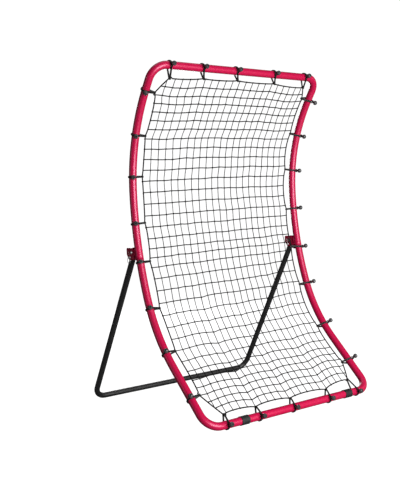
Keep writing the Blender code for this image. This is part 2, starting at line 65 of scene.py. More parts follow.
# %% Driving dimensions
RAIL_RADIUS = 0.016
RAIL_WALL = 0.0015
HALF_WIDTH = 0.450
CORNER_RADIUS = 0.064
JOINT_STATION = 0.765
JOINT_GAP = 0.0003
FRONT_BAR = (-0.4015, 0.0214)
RAIL_START_HEADING = math.radians(45.5)
RAIL_STRETCHES = (
    (0.291, math.radians(45.5)),
    (0.306, math.radians(72.5)),
    (0.436, math.radians(90.2)),
    (0.423, math.radians(124.9)),
    (0.114, math.radians(124.9)),
)
RAIL_LENGTH = sum(length for length, _ in RAIL_STRETCHES)
X_AXIS = Vector((1, 0, 0))
SIDES = {"left": -1, "right": 1}
print("each side rail is", round(RAIL_LENGTH, 3), "m long")


# %% Places on the profile
def rail_place(station):
    """The point (y, z) on the profile at a station, and its heading."""
    (y, z), heading, left = FRONT_BAR, RAIL_START_HEADING, station
    for length, end_heading in RAIL_STRETCHES:
        part = min(left, length)
        turn = (end_heading - heading) * part / length
        if abs(turn) < 1e-9:
            y += part * math.cos(heading)
            z += part * math.sin(heading)
        else:
            radius = part / turn
            y += radius * (math.sin(heading + turn) - math.sin(heading))
            z += radius * (math.cos(heading) - math.cos(heading + turn))
        heading += turn
        left -= part
        if left <= 0:
            break
    return y, z, heading


def rail_axes(station):
    """The profile's direction, and the side that the net faces."""
    heading = rail_place(station)[2]
    tangent = Vector((0, math.cos(heading), math.sin(heading)))
    return tangent, Vector((0, -tangent.z, tangent.y))


def on_net(x, station, lift=0.0):
    """A point on the net's surface, lifted towards its front."""
    y, z, _ = rail_place(station)
    return Vector((x, y, z)) + lift * rail_axes(station)[1]


print("the top bar is at", [round(value, 3) for value in on_net(0, RAIL_LENGTH)])

# %% [markdown]
# ## Helpers for shapes
#
# Nearly everything here is a round section drawn along a path: tube, cord, rope, wire. One
# sweep makes them all. It carries its ring from point to point without twisting it, and writes
# a UV map: U goes once round the section and V is the length along it in metres, so that a
# braid or a lay can follow the cord whichever way it bends.


# %% Smooth paths
def smooth_path(points, steps, closed=False):
    """A Catmull-Rom curve through the points, with this many steps between two of them."""
    count = len(points)
    spans = count if closed else count - 1
    path = []
    for i in range(spans):
        if closed:
            a, b, c, d = (points[(i + k) % count] for k in (-1, 0, 1, 2))
        else:
            a, b, c, d = (points[min(max(i + k, 0), count - 1)] for k in (-1, 0, 1, 2))
        for step in range(steps):
            t = step / steps
            square = (2 * a - 5 * b + 4 * c - d) * t**2
            cube = (3 * b - a - 3 * c + d) * t**3
            path.append(0.5 * (2 * b + (c - a) * t + square + cube))
    return path if closed else path + [points[-1]]


def arc_angles(start, end, step=math.radians(7.5)):
    count = max(1, math.ceil(abs(end - start) / step))
    return [start + (end - start) * i / count for i in range(count + 1)]


# %% The sweep
def carried_normals(points, tangents, first, closed):
    """A normal for each point that doesn't twist. On a closed path the leftover twist is spread out."""
    normals = []
    normal = first
    for tangent in tangents:
        normal = (normal - normal.dot(tangent) * tangent).normalized()
        normals.append(normal)
    if closed:
        back = (normal - normal.dot(tangents[0]) * tangents[0]).normalized()
        twist = math.atan2(back.cross(normals[0]).dot(tangents[0]), back.dot(normals[0]))
        for i, tangent in enumerate(tangents):
            normals[i] = Matrix.Rotation(twist * i / len(points), 3, tangent) @ normals[i]
    return normals


def sweep(bm, points, radius, sides, closed=False, first_normal=None, capped=True, material=0):
    """Draws a round section along the points. The radius may be one number or one for each point."""
    count = len(points)
    radii = radius if isinstance(radius, (list, tuple)) else [radius] * count
    tangents = []
    for i in range(count):
        before = points[i - 1] if i or closed else points[i]
        after = points[(i + 1) % count] if i + 1 < count or closed else points[i]
        tangents.append((after - before).normalized())
    start = first_normal or tangents[0].orthogonal()
    normals = carried_normals(points, tangents, start, closed)
    rings = []
    for point, tangent, normal, size in zip(points, tangents, normals, radii):
        side = tangent.cross(normal)
        turns = [2 * math.pi * i / sides for i in range(sides)]
        ways = (math.cos(a) * normal + math.sin(a) * side for a in turns)
        rings.append([bm.verts.new(point + size * way) for way in ways])
    uv = bm.loops.layers.uv.verify()
    length = 0.0
    for i in range(count if closed else count - 1):
        j = (i + 1) % count
        step = (points[j] - points[i]).length
        for k in range(sides):
            n = (k + 1) % sides
            face = bm.faces.new((rings[i][k], rings[i][n], rings[j][n], rings[j][k]))
            face.smooth = True
            face.material_index = material
            places = ((k, 0), (k + 1, 0), (k + 1, 1), (k, 1))
            for loop, (around, along) in zip(face.loops, places):
                loop[uv].uv = (around / sides, length + along * step)
        length += step
    if capped and not closed:
        for ring in (rings[0][::-1], rings[-1]):
            bm.faces.new(ring).material_index = material
    return rings


# %% Turned parts and finished pieces
def turned(bm, profile, segments=32, material=0):
    """Turns (x, radius) steps about the X axis. A radius of 0 closes an end."""
    rings = []
    for x, radius in profile:
        if radius == 0:
            rings.append([bm.verts.new((x, 0, 0))])
            continue
        turns = [2 * math.pi * i / segments for i in range(segments)]
        rings.append([bm.verts.new((x, radius * math.cos(a), radius * math.sin(a))) for a in turns])
    for first, second in zip(rings, rings[1:]):
        for i in range(segments):
            j = (i + 1) % segments
            corners = [first[i % len(first)], first[j % len(first)]]
            corners += [second[j % len(second)], second[i % len(second)]]
            corners = list(dict.fromkeys(corners))
            face = bm.faces.new(corners)
            face.smooth = True
            face.material_index = material


def mesh_of(bm, name, sharp=None):
    """The finished mesh. Edges sharper than this angle stay crisp under smooth shading."""
    bmesh.ops.recalc_face_normals(bm, faces=bm.faces)
    mesh = bpy.data.meshes.new(name)
    bm.to_mesh(mesh)
    bm.free()
    mesh.shade_smooth()
    if sharp:
        mesh.set_sharp_from_angle(angle=math.radians(sharp))
    return mesh


def add_piece(name, mesh, materials, body, nodes=(), place=None):
    """A piece of the object: it rides on a body and may stand for CAD nodes."""
    piece = bpy.data.objects.new(name, mesh)
    bpy.context.scene.collection.objects.link(piece)
    if place is not None:
        piece.matrix_world = place
    if not mesh.materials:
        for material in materials:
            mesh.materials.append(material)
    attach(piece, body)
    if nodes:
        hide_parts(*nodes)
    return piece


print("helpers ready: smooth_path, sweep, turned, mesh_of, add_piece")

# %% [markdown]
# ## Finishes
#
# Three effects come back in several finishes, so each is a node group with its own inputs:
# *coat grain*, the faint orange peel and speckle of baked powder; *cord cover*, the crossing or
# twisted yarns of a cord, worked out from the UV map; and *handling marks*, soft blotches where
# a surface has been touched and has taken some dust.


# %% Node group builder
def new_group(name, inputs, outputs):
    """An empty node group. Inputs are (name, socket type, default), outputs are (name, socket type)."""
    group = bpy.data.node_groups.new(name, "ShaderNodeTree")
    for label, kind, default in inputs:
        socket = group.interface.new_socket(name=label, in_out="INPUT", socket_type="NodeSocket" + kind)
        if default is not None:
            socket.default_value = default
    for label, kind in outputs:
        group.interface.new_socket(name=label, in_out="OUTPUT", socket_type="NodeSocket" + kind)
    return group, group.nodes.new("NodeGroupInput"), group.nodes.new("NodeGroupOutput")


def math_node(tree, operation, *values):
    """A Math node. Each value is a number or a socket, and the result is the node's output."""
    node = tree.nodes.new("ShaderNodeMath")
    node.operation = operation
    for i, value in enumerate(values):
        if isinstance(value, bpy.types.NodeSocket):
            tree.links.new(value, node.inputs[i])
        else:
            node.inputs[i].default_value = value
    return node.outputs[0]


def noise_node(tree, vector, scale, detail=3.0, roughness=0.5):
    node = tree.nodes.new("ShaderNodeTexNoise")
    tree.links.new(vector, node.inputs["Vector"])
    for label, value in (("Scale", scale), ("Detail", detail), ("Roughness", roughness)):
        if isinstance(value, bpy.types.NodeSocket):
            tree.links.new(value, node.inputs[label])
        else:
            node.inputs[label].default_value = value
    return node.outputs["Fac"]


def remap(tree, value, low, high, to_low=0.0, to_high=1.0):
    node = tree.nodes.new("ShaderNodeMapRange")
    tree.links.new(value, node.inputs["Value"])
    for label, number in (("From Min", low), ("From Max", high), ("To Min", to_low), ("To Max", to_high)):
        node.inputs[label].default_value = number
    return node.outputs["Result"]


print("group helpers ready")


# %% Coat grain group
def make_coat_grain():
    group, inputs, outputs = new_group(
        "coat_grain",
        (("Vector", "Vector", None), ("Peel Scale", "Float", 260.0), ("Speckle Scale", "Float", 1500.0)),
        (("Height", "Float"), ("Speckle", "Float")),
    )
    peel = noise_node(group, inputs.outputs["Vector"], inputs.outputs["Peel Scale"], 2.0)
    speckle = noise_node(group, inputs.outputs["Vector"], inputs.outputs["Speckle Scale"], 1.0)
    fine = math_node(group, "MULTIPLY", speckle, 0.25)
    group.links.new(math_node(group, "ADD", peel, fine), outputs.inputs["Height"])
    group.links.new(remap(group, speckle, 0.35, 0.65), outputs.inputs["Speckle"])
    return group


coat_grain = make_coat_grain()
print("made", coat_grain.name)


# %% Handling marks group
def make_handling_marks():
    group, inputs, outputs = new_group(
        "handling_marks",
        (("Vector", "Vector", None), ("Scale", "Float", 9.0), ("Amount", "Float", 0.5)),
        (("Mask", "Float"),),
    )
    broad = noise_node(group, inputs.outputs["Vector"], inputs.outputs["Scale"], 5.0, 0.62)
    streaks = noise_node(group, inputs.outputs["Vector"], 90.0, 2.0)
    mixed = math_node(group, "ADD", broad, math_node(group, "MULTIPLY", streaks, 0.3))
    shaped = remap(group, mixed, 0.55, 0.85)
    group.links.new(math_node(group, "MULTIPLY", shaped, inputs.outputs["Amount"]), outputs.inputs["Mask"])
    return group


handling_marks = make_handling_marks()
print("made", handling_marks.name)


# %% Cord cover group
def make_cord_cover():
    """Yarns in UV space. Crossing 1 gives a braid, and 0 a plain twist."""
    group, inputs, outputs = new_group(
        "cord_cover",
        (
            ("UV", "Vector", None),
            ("Yarns", "Float", 8.0),
            ("Pitch", "Float", 0.004),
            ("Crossing", "Float", 1.0),
        ),
        (("Height", "Float"), ("Gap", "Float")),
    )
    parts = group.nodes.new("ShaderNodeSeparateXYZ")
    group.links.new(inputs.outputs["UV"], parts.inputs[0])
    around = math_node(group, "MULTIPLY", parts.outputs["X"], inputs.outputs["Yarns"])
    along = math_node(group, "DIVIDE", parts.outputs["Y"], inputs.outputs["Pitch"])
    yarns = []
    for operation in ("ADD", "SUBTRACT"):
        turn = math_node(group, "MULTIPLY", math_node(group, operation, around, along), math.pi)
        yarns.append(math_node(group, "ABSOLUTE", math_node(group, "SINE", turn)))
    crossed = math_node(group, "MULTIPLY", yarns[1], inputs.outputs["Crossing"])
    height = math_node(group, "MAXIMUM", yarns[0], crossed)
    group.links.new(height, outputs.inputs["Height"])
    group.links.new(remap(group, height, 0.75, 0.2), outputs.inputs["Gap"])
    return group


cord_cover = make_cord_cover()
print("made", cord_cover.name)


# %% [markdown]
# ### Material builder
#
# Every material starts the same way: a Principled shader, its fixed sockets, and one source of
# coordinates. Object coordinates are right for solid finishes, since each CAD part sits at the
# origin, and the UV map is right for cords. Colour, roughness and bump then come from the groups.


# %% Material builder
def colour_socket(sockets, label):
    """A Mix node has a socket of each name for each data type. This is the colour one."""
    return next(socket for socket in sockets if socket.name == label and socket.type == "RGBA")


class Finish:
    """A material being made: its tree, its shader and a few short ways to add to it."""

    def __init__(self, name, coordinates="Object", **sockets):
        self.material = bpy.data.materials.new(name)
        self.material.use_nodes = True
        self.tree = self.material.node_tree
        self.shader = self.tree.nodes["Principled BSDF"]
        source = self.tree.nodes.new("ShaderNodeTexCoord")
        self.coordinates = source.outputs[coordinates]
        self.solid = source.outputs["Object"]
        for label, value in sockets.items():
            self.shader.inputs[label.replace("_", " ")].default_value = value

    def effect(self, group, coordinates, label, **values):
        """Places a node group. The label is the name of its coordinate input."""
        node = self.tree.nodes.new("ShaderNodeGroup")
        node.node_tree = group
        self.tree.links.new(coordinates, node.inputs[label])
        for key, value in values.items():
            node.inputs[key.replace("_", " ")].default_value = value
        return node.outputs

    def mix(self, factor, first, second):
        """Mixes two colours by a mask."""
        node = self.tree.nodes.new("ShaderNodeMix")
        node.data_type = "RGBA"
        self.tree.links.new(factor, node.inputs["Factor"])
        for label, colour in (("A", first), ("B", second)):
            self.give(colour_socket(node.inputs, label), colour)
        return colour_socket(node.outputs, "Result")

    def give(self, socket, value):
        if isinstance(value, bpy.types.NodeSocket):
            self.tree.links.new(value, socket)
        elif isinstance(value, tuple):
            socket.default_value = (*value, 1.0)
        else:
            socket.default_value = value

    def set(self, label, value):
        self.give(self.shader.inputs[label], value)

    def bump(self, height, strength, distance):
        node = self.tree.nodes.new("ShaderNodeBump")
        node.inputs["Strength"].default_value = strength
        node.inputs["Distance"].default_value = distance
        self.tree.links.new(height, node.inputs["Height"])
        self.tree.links.new(node.outputs["Normal"], self.shader.inputs["Normal"])


print("material builder ready")

# %% [markdown]
# ### Powder coat
#
# The frame is crimson powder coat and the leg black. Baked powder is a thick plastic skin with
# a soft gloss. Pigment lies close under that skin, so the crimson's gloss is tinted pink, and a
# weak clear coat adds a sharper edge to it. The orange peel is a shallow bump, and the speckle
# lets the colour break up a little, as pigment does.


# %% Powder coats
def powder_coat(name, colour, deep, dust, roughness, coat, gloss):
    finish = Finish(name, Coat_Weight=coat, Coat_Roughness=0.26, Specular_IOR_Level=0.85)
    finish.set("Specular Tint", gloss)
    grain = finish.effect(coat_grain, finish.coordinates, "Vector")
    marks = finish.effect(handling_marks, finish.coordinates, "Vector", Scale=6.0, Amount=0.30)
    pigment = finish.mix(grain["Speckle"], deep, colour)
    finish.set("Base Color", finish.mix(marks["Mask"], pigment, dust))
    finish.set("Roughness", remap(finish.tree, marks["Mask"], 0.0, 1.0, roughness, roughness + 0.2))
    finish.bump(grain["Height"], 0.06, 0.0002)
    return finish.material


pink = (1.0, 0.50, 0.72)
white = (1.0, 1.0, 1.0)
shades = (0.59, 0.0020, 0.062), (0.52, 0.0015, 0.052), (0.56, 0.006, 0.068)
crimson = powder_coat("crimson_powder", *shades, 0.36, 0.20, pink)
# The brackets get a darker copy of the frame's crimson. This is painted shade, because the plates sit in shadow
# behind the rails.
shades = (0.52, 0.0015, 0.048), (0.42, 0.0010, 0.036), (0.48, 0.006, 0.055)
shaded_plate_crimson = powder_coat("crimson_plate_painted_shade", *shades, 0.42, 0.20, pink)
shades = (0.008, 0.008, 0.0085), (0.004, 0.004, 0.0045), (0.018, 0.018, 0.018)
black_coat = powder_coat("black_powder", *shades, 0.5, 0.1, white)
print("powder coats:", crimson.name, shaded_plate_crimson.name, black_coat.name)

# %% [markdown]
# ### Bare and plated steel
#
# The bolts, pins and rings are bright zinc and the nuts a dulled zinc: a metal base whose
# roughness wanders, because the plating dulls where it has been handled. The spigots inside the
# rails are bare drawn tube with fine scratches along their length.


# %% Metals
def metal(name, colour, dull, roughness, scratch_scale):
    finish = Finish(name, Metallic=1.0)
    marks = finish.effect(handling_marks, finish.coordinates, "Vector", Scale=120.0, Amount=0.8)
    finish.set("Base Color", finish.mix(marks["Mask"], colour, dull))
    finish.set("Roughness", remap(finish.tree, marks["Mask"], 0.0, 1.0, roughness, roughness + 0.22))
    finish.bump(noise_node(finish.tree, finish.coordinates, scratch_scale, 4.0), 0.12, 0.0001)
    return finish.material


zinc = metal("bright_zinc", (0.90, 0.91, 0.93), (0.66, 0.67, 0.68), 0.30, 900.0)
dark_zinc = metal("dulled_zinc", (0.30, 0.30, 0.31), (0.18, 0.18, 0.18), 0.34, 900.0)
drawn_steel = metal("drawn_steel", (0.46, 0.46, 0.47), (0.33, 0.32, 0.31), 0.35, 1400.0)
print("metals:", zinc.name, dark_zinc.name, drawn_steel.name)

# %% [markdown]
# ### Rubber and moulded plastic
#
# The bar sleeves are dull black rubber that shows lint and a fine grain. The bungee balls are
# moulded plastic with a tighter, shinier skin. One recipe serves both, with its own values.


# %% Rubber and plastic
def moulded(name, colour, dust, roughness, grain_scale, grain_depth, dust_amount):
    finish = Finish(name, Specular_IOR_Level=0.5)
    marks = finish.effect(handling_marks, finish.coordinates, "Vector", Scale=60.0, Amount=dust_amount)
    finish.set("Base Color", finish.mix(marks["Mask"], colour, dust))
    finish.set("Roughness", remap(finish.tree, marks["Mask"], 0.0, 1.0, roughness, roughness + 0.2))
    finish.bump(noise_node(finish.tree, finish.coordinates, grain_scale, 3.0), 0.3, grain_depth)
    return finish.material


lint = (0.028, 0.029, 0.028)
sleeve_rubber = moulded("sleeve_rubber", (0.008, 0.009, 0.009), lint, 0.62, 1100.0, 0.0003, 0.6)
ball_plastic = moulded("ball_plastic", (0.060, 0.060, 0.062), (0.11, 0.11, 0.11), 0.12, 600.0, 0.00004, 0.4)
print("moulded:", sleeve_rubber.name, ball_plastic.name)

# %% [markdown]
# ### Cords
#
# The bungee cord has a braided cover, the edge rope a coarser braid, and the net cord a plain
# three-yarn twist. The pattern is worked out on the UV map, so it runs along each cord. The gaps
# between yarns get a darker colour, which is painted shade, and are bumped deeper. A little
# sheen stands for loose fibre.


# %% Cords
def cord(name, colour, gap_shade_colour, yarns, pitch, crossing, depth, roughness=0.75, gloss=0.2):
    finish = Finish(name, "UV", Sheen_Weight=0.04, Sheen_Roughness=0.4, Specular_IOR_Level=gloss)
    cover = finish.effect(cord_cover, finish.coordinates, "UV", Yarns=yarns, Pitch=pitch, Crossing=crossing)
    fuzz = noise_node(finish.tree, finish.solid, 700.0, 3.0)
    lively = finish.mix(remap(finish.tree, fuzz, 0.4, 0.7), colour, tuple(1.6 * part for part in colour))
    # The gaps between yarns take the darker colour, which is painted shade.
    finish.set("Base Color", finish.mix(cover["Gap"], lively, gap_shade_colour))
    finish.set("Roughness", remap(finish.tree, fuzz, 0.3, 0.7, roughness - 0.08, roughness + 0.12))
    loose = math_node(finish.tree, "MULTIPLY", fuzz, 0.3)
    finish.bump(math_node(finish.tree, "ADD", cover["Height"], loose), 0.7, depth)
    return finish.material


# The gap colour is painted shade for the hollows between yarns.
painted_gap_shade = (0.003, 0.003, 0.003)
bungee_cover = cord("bungee_cover", (0.010, 0.010, 0.010), painted_gap_shade, 8.0, 0.0036, 1.0, 0.0003, 0.45, 0.5)
rope_cover = cord("edge_rope_cover", (0.006, 0.006, 0.006), painted_gap_shade, 6.0, 0.0040, 1.0, 0.0004)
net_twist = cord("net_twist", (0.005, 0.005, 0.005), painted_gap_shade, 3.0, 0.0055, 0.0, 0.0003)
print("cords:", bungee_cover.name, rope_cover.name, net_twist.name)

# %% [markdown]
# ## The frame
#
# Each half is one U of 32 mm tube. The path climbs a side rail in steps short enough to look
# curved, turns the corner on a 64 mm bend and comes back down the other side. The tube is
# hollow, with its wall showing only where the halves butt together over their spigots.


# %% Frame tubes
RAIL_STEPS = 60
TUBE_SIDES = 48


def frame_half_path(end_station):
    """A U: up one rail to the bar at the end station, across it and down the other rail."""
    up = 1 if end_station > JOINT_STATION else -1
    start = JOINT_STATION + up * JOINT_GAP / 2
    bend_start = end_station - up * CORNER_RADIUS
    run = bend_start - start
    side = [on_net(-HALF_WIDTH, start + run * i / RAIL_STEPS) for i in range(RAIL_STEPS + 1)]
    along = up * rail_axes(end_station)[0]
    centre = side[-1] + CORNER_RADIUS * X_AXIS
    for angle in arc_angles(0, math.pi / 2, math.radians(5))[1:]:
        side.append(centre + CORNER_RADIUS * (math.sin(angle) * along - math.cos(angle) * X_AXIS))
    return side + [Vector((-point.x, point.y, point.z)) for point in reversed(side)]


def hollow_sweep(bm, path, radius, wall, sides):
    """A tube with a wall and a small rounded edge at each end."""
    edge = wall / 3
    ends = []
    for end, inside in ((path[0], path[1]), (path[-1], path[-2])):
        ends.append(end + (inside - end).normalized() * edge)
    outer_path = [path[0], ends[0], *path[1:-1], ends[1], path[-1]]
    outer_radii = [radius - edge] + [radius] * (len(outer_path) - 2) + [radius - edge]
    outer = sweep(bm, outer_path, outer_radii, sides, first_normal=X_AXIS, capped=False)
    inner = sweep(bm, path, radius - wall, sides, first_normal=X_AXIS, capped=False)
    for first, second in ((outer[0], inner[0]), (outer[-1], inner[-1])):
        for i in range(sides):
            j = (i + 1) % sides
            bm.faces.new((first[i], first[j], second[j], second[i]))


for part, end in (("lower", 0.0), ("upper", RAIL_LENGTH)):
    bm = bmesh.new()
    hollow_sweep(bm, frame_half_path(end), RAIL_RADIUS, RAIL_WALL, TUBE_SIDES)
    mesh = mesh_of(bm, part + "_crimson_tube", sharp=50)
    node = part + "_frame_tube"
    add_piece(part + "_crimson_tube", mesh, [crimson], "frame", [node])
    print(part, "half has", len(mesh.polygons), "faces")

for side in SIDES:
    spigot = frame["nodes"][side + "_joint_spigot"]
    spigot.data.materials.clear()
    spigot.data.materials.append(drawn_steel)
print("spigots are drawn steel")

# %% [markdown]
# ## Leg brackets
#
# Each bracket is a channel of 3 mm plate welded behind a rail. The CAD shape is right, holes
# and all, so the CAD part stays, and a Bevel modifier breaks its edges as a press would. The
# weld itself is added: a bead that ripples where each pool of metal froze over the last.

# %% Bracket plates
PLATE = 0.003
CHEEK_GAP = 0.026
BRACKET_STATION = 0.795
PIVOT_BEHIND_RAIL = 0.032
pivot_y, pivot_z = next(joint for joint in frame["joints"] if joint["name"] == "leg_fold")["pos_m"][1:]
for side in SIDES:
    bracket = frame["nodes"][side + "_leg_bracket"]
    # The plates take the darker crimson, which is painted shade.
    bracket.data.materials.clear()
    bracket.data.materials.append(shaded_plate_crimson)
    edges = bracket.modifiers.new("broken_edges", "BEVEL")
    edges.width = 0.0005
    edges.segments = 2
    edges.limit_method = "ANGLE"
    edges.angle_limit = math.radians(40)
print("the leg turns about y", pivot_y, "z", pivot_z)


# %% Weld beads
BEAD_RADIUS = 0.0019
RIPPLES = 26
RIPPLE_STEPS = 4


def weld_bead(bm, x):
    """A rippled bead along the rail, in the corner between the tube and a cheek."""
    tangent, front = rail_axes(BRACKET_STATION)
    pivot = Vector((0, pivot_y, pivot_z))
    low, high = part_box("left_leg_bracket")
    corner_depth = PIVOT_BEHIND_RAIL - math.sqrt(RAIL_RADIUS**2 - (CHEEK_GAP / 2) ** 2)
    middle = pivot + corner_depth * front
    reach = (high.z - low.z) / 2 - 0.004
    centre_z = (low.z + high.z) / 2
    points, radii = [], []
    steps = RIPPLES * RIPPLE_STEPS
    for i in range(steps + 1):
        share = i / steps
        z = centre_z + reach * (2 * share - 1)
        place = middle + tangent * ((z - middle.z) / tangent.z)
        points.append(Vector((x, place.y, place.z)))
        taper = min(1, 8 * share, 8 * (1 - share))
        ripple = 1 + 0.10 * math.sin(2 * math.pi * i / RIPPLE_STEPS)
        radii.append(BEAD_RADIUS * (0.35 + 0.65 * taper) * ripple)
    sweep(bm, points, radii, 12)


for side, sign in SIDES.items():
    bm = bmesh.new()
    for edge in (-1, 1):
        weld_bead(bm, sign * HALF_WIDTH + edge * (CHEEK_GAP / 2 + PLATE / 2))
    mesh = mesh_of(bm, side + "_bracket_welds")
    # The welds share the plates' darker crimson, which is painted shade.
    add_piece(side + "_bracket_welds", mesh, [shaded_plate_crimson], "frame")
print("weld beads on both brackets")

# %% [markdown]
# ## The rear leg
#
# The leg is a U of 25 mm tube with spun, domed ends. Each end is crossed by the pivot bolt's
# hole, and by the lock pin's hole, which opens into a slot at the back so that the leg can fold
# forward off the pins. The holes are cut with Booleans and applied, so one plain mesh remains.

# %% Leg dimensions
LEG_RADIUS = 0.0125
LEG_WALL = 0.0015
LEG_CORNER_RADIUS = 0.055
LEG_SOLID_END = 0.013
HOLE_RADIUS = 0.0043
LOCK_ARC_RADIUS = 0.0235
NOTCH_SWEEP = math.radians(62)
foot_y = frame["record"]["mounts"][0]["pos_m"][1]
pivot = Vector((0, pivot_y, pivot_z))
foot = Vector((0, foot_y, LEG_RADIUS))
leg_way = (foot - pivot).normalized()
leg_length = (foot - pivot).length
lock_angle = math.atan2(leg_way.z, leg_way.y)
print("the leg is", round(leg_length, 3), "m from pivot to foot bar")


# %% Leg path
def leg_path(start):
    top = pivot - HALF_WIDTH * X_AXIS
    centre = top + (leg_length - LEG_CORNER_RADIUS) * leg_way + LEG_CORNER_RADIUS * X_AXIS
    side = [top + start * leg_way]
    for angle in arc_angles(0, math.pi / 2, math.radians(5)):
        side.append(centre + LEG_CORNER_RADIUS * (math.sin(angle) * leg_way - math.cos(angle) * X_AXIS))
    return side + [Vector((-point.x, point.y, point.z)) for point in reversed(side)]


def domed_path():
    """The leg's whole path and radii, with a dome round each pivot."""
    middle = leg_path(0.0)
    angles = arc_angles(math.radians(85), math.radians(8), math.radians(11))
    radii = [LEG_RADIUS * math.cos(angle) for angle in angles]
    start = [middle[0] - LEG_RADIUS * math.sin(angle) * leg_way for angle in angles]
    end = [Vector((-point.x, point.y, point.z)) for point in reversed(start)]
    return start + middle + end, radii + [LEG_RADIUS] * len(middle) + radii[::-1]


# %% Leg mesh
def cut(mesh, cutters, name):
    """Cuts closed meshes out of a mesh, and gives back one plain mesh."""
    body = bpy.data.objects.new(name, mesh)
    bpy.context.scene.collection.objects.link(body)
    helpers = [body]
    for cutter in cutters:
        helper = bpy.data.objects.new(name + "_cutter", cutter)
        bpy.context.scene.collection.objects.link(helper)
        modifier = body.modifiers.new("cut", "BOOLEAN")
        modifier.object = helper
        modifier.operation = "DIFFERENCE"
        helpers.append(helper)
    bpy.context.view_layer.update()
    made = bpy.data.meshes.new_from_object(body.evaluated_get(bpy.context.evaluated_depsgraph_get()))
    for helper in helpers:
        bpy.data.objects.remove(helper, do_unlink=True)
    made.name = name
    made.shade_smooth()
    made.set_sharp_from_angle(angle=math.radians(40))
    return made


def cross_cylinder(place, radius, reach, axis="X", segments=32):
    """A cutter through a place, along X or Y."""
    bm = bmesh.new()
    turned(bm, ((-reach, 0), (-reach, radius), (reach, radius), (reach, 0)), segments)
    if axis == "Y":
        bmesh.ops.rotate(bm, verts=bm.verts, matrix=Matrix.Rotation(math.pi / 2, 3, "Z"))
    bmesh.ops.translate(bm, verts=bm.verts, vec=place)
    return mesh_of(bm, "cross_cylinder")


def lock_slot():
    """The cutter for the slot that opens the lock pin's hole backwards."""
    outer, inner = LOCK_ARC_RADIUS + HOLE_RADIUS, LOCK_ARC_RADIUS - HOLE_RADIUS
    turns = arc_angles(lock_angle, lock_angle + NOTCH_SWEEP)
    outline = [(outer * math.cos(a), outer * math.sin(a)) for a in turns]
    outline += [(inner * math.cos(a), inner * math.sin(a)) for a in reversed(turns)]
    hole = (LOCK_ARC_RADIUS * math.cos(lock_angle), LOCK_ARC_RADIUS * math.sin(lock_angle))
    for a in arc_angles(lock_angle + math.pi, lock_angle + 2 * math.pi)[1:-1]:
        outline.append((hole[0] + HOLE_RADIUS * math.cos(a), hole[1] + HOLE_RADIUS * math.sin(a)))
    bm = bmesh.new()
    reach = HALF_WIDTH + CHEEK_GAP
    ends = [[bm.verts.new((x, pivot.y + y, pivot.z + z)) for y, z in outline] for x in (-reach, reach)]
    count = len(outline)
    for i in range(count):
        j = (i + 1) % count
        bm.faces.new((ends[0][i], ends[0][j], ends[1][j], ends[1][i]))
    bm.faces.new(ends[0])
    bm.faces.new(ends[1])
    return mesh_of(bm, "lock_slot")


points, radii = domed_path()
bm = bmesh.new()
sweep(bm, points, radii, 32)
outer = mesh_of(bm, "leg_outside")
core_path = leg_path(LEG_SOLID_END)
bm = bmesh.new()
sweep(bm, core_path, LEG_RADIUS - LEG_WALL, 24)
bore = mesh_of(bm, "leg_bore")
reach = HALF_WIDTH + CHEEK_GAP
mesh = cut(outer, [bore, lock_slot(), cross_cylinder(pivot, HOLE_RADIUS, reach)], "black_leg")
add_piece("black_leg", mesh, [black_coat], "leg", ["support_leg_tube"])
print("the leg has", len(mesh.polygons), "faces")

# %% [markdown]
# ## Bolts, nuts, pins and rings
#
# These are all turned or wound, and all bright zinc. Each is drawn once for the right side,
# along X and pointing outwards. The left one is the same mesh turned half round.

# %% Fastener dimensions
SEAT = CHEEK_GAP / 2 + PLATE + 0.0003
BOLT_RADIUS = 0.0040
NUT_RADIUS = 0.0075
NUT_HEIGHT = 0.0065
COLLAR_RADIUS = 0.0062
COLLAR_END = SEAT + 0.0015
EYE_RADIUS = 0.0042
EYE_END = COLLAR_END + 0.0075
EYE_HOLE = 0.0019
RING_RADIUS = 0.0120
eye = Vector(next(joint for joint in frame["joints"] if joint["name"] == "right_ring_swing")["pos_m"])


def side_place(sign, y, z, x=HALF_WIDTH):
    """Places a right-hand part on either side."""
    turn = Matrix.Rotation(math.pi, 4, "Z") if sign < 0 else Matrix.Identity(4)
    return Matrix.Translation((sign * x, y, z)) @ turn


print("the rings hang at x", round(eye.x, 4))


# %% Pivot bolts
HEAD_RADIUS = 0.0070
HEAD_HEIGHT = 0.0045


def bolt_mesh():
    head = [(SEAT, BOLT_RADIUS), (SEAT, HEAD_RADIUS - 0.0003), (SEAT + 0.0004, HEAD_RADIUS)]
    for angle in arc_angles(math.radians(12), math.radians(84), math.radians(9)):
        head.append((SEAT + HEAD_HEIGHT * math.sin(angle), HEAD_RADIUS * math.cos(angle)))
    head.append((SEAT + HEAD_HEIGHT, 0))
    tip = -SEAT - NUT_HEIGHT - 0.0015
    shank = [(tip, 0), (tip, 0.0032), (tip + 0.0008, 0.0039)]
    threads = 7
    for i in range(threads):
        x = tip + 0.0008 + (NUT_HEIGHT + 0.0007) * (i + 0.5) / threads
        shank += [(x, BOLT_RADIUS - 0.0004), (x + 0.0005, BOLT_RADIUS)]
    bm = bmesh.new()
    turned(bm, shank + [(-SEAT, BOLT_RADIUS)] + head, 40)
    return mesh_of(bm, "pivot_bolt", sharp=35)


bolt = bolt_mesh()
for side, sign in SIDES.items():
    node = side + "_pivot_bolt"
    place = side_place(sign, pivot_y, pivot_z)
    add_piece(node + "_turned", bolt, [zinc], "frame", [node], place)
print("pivot bolts:", len(bolt.polygons), "faces each")


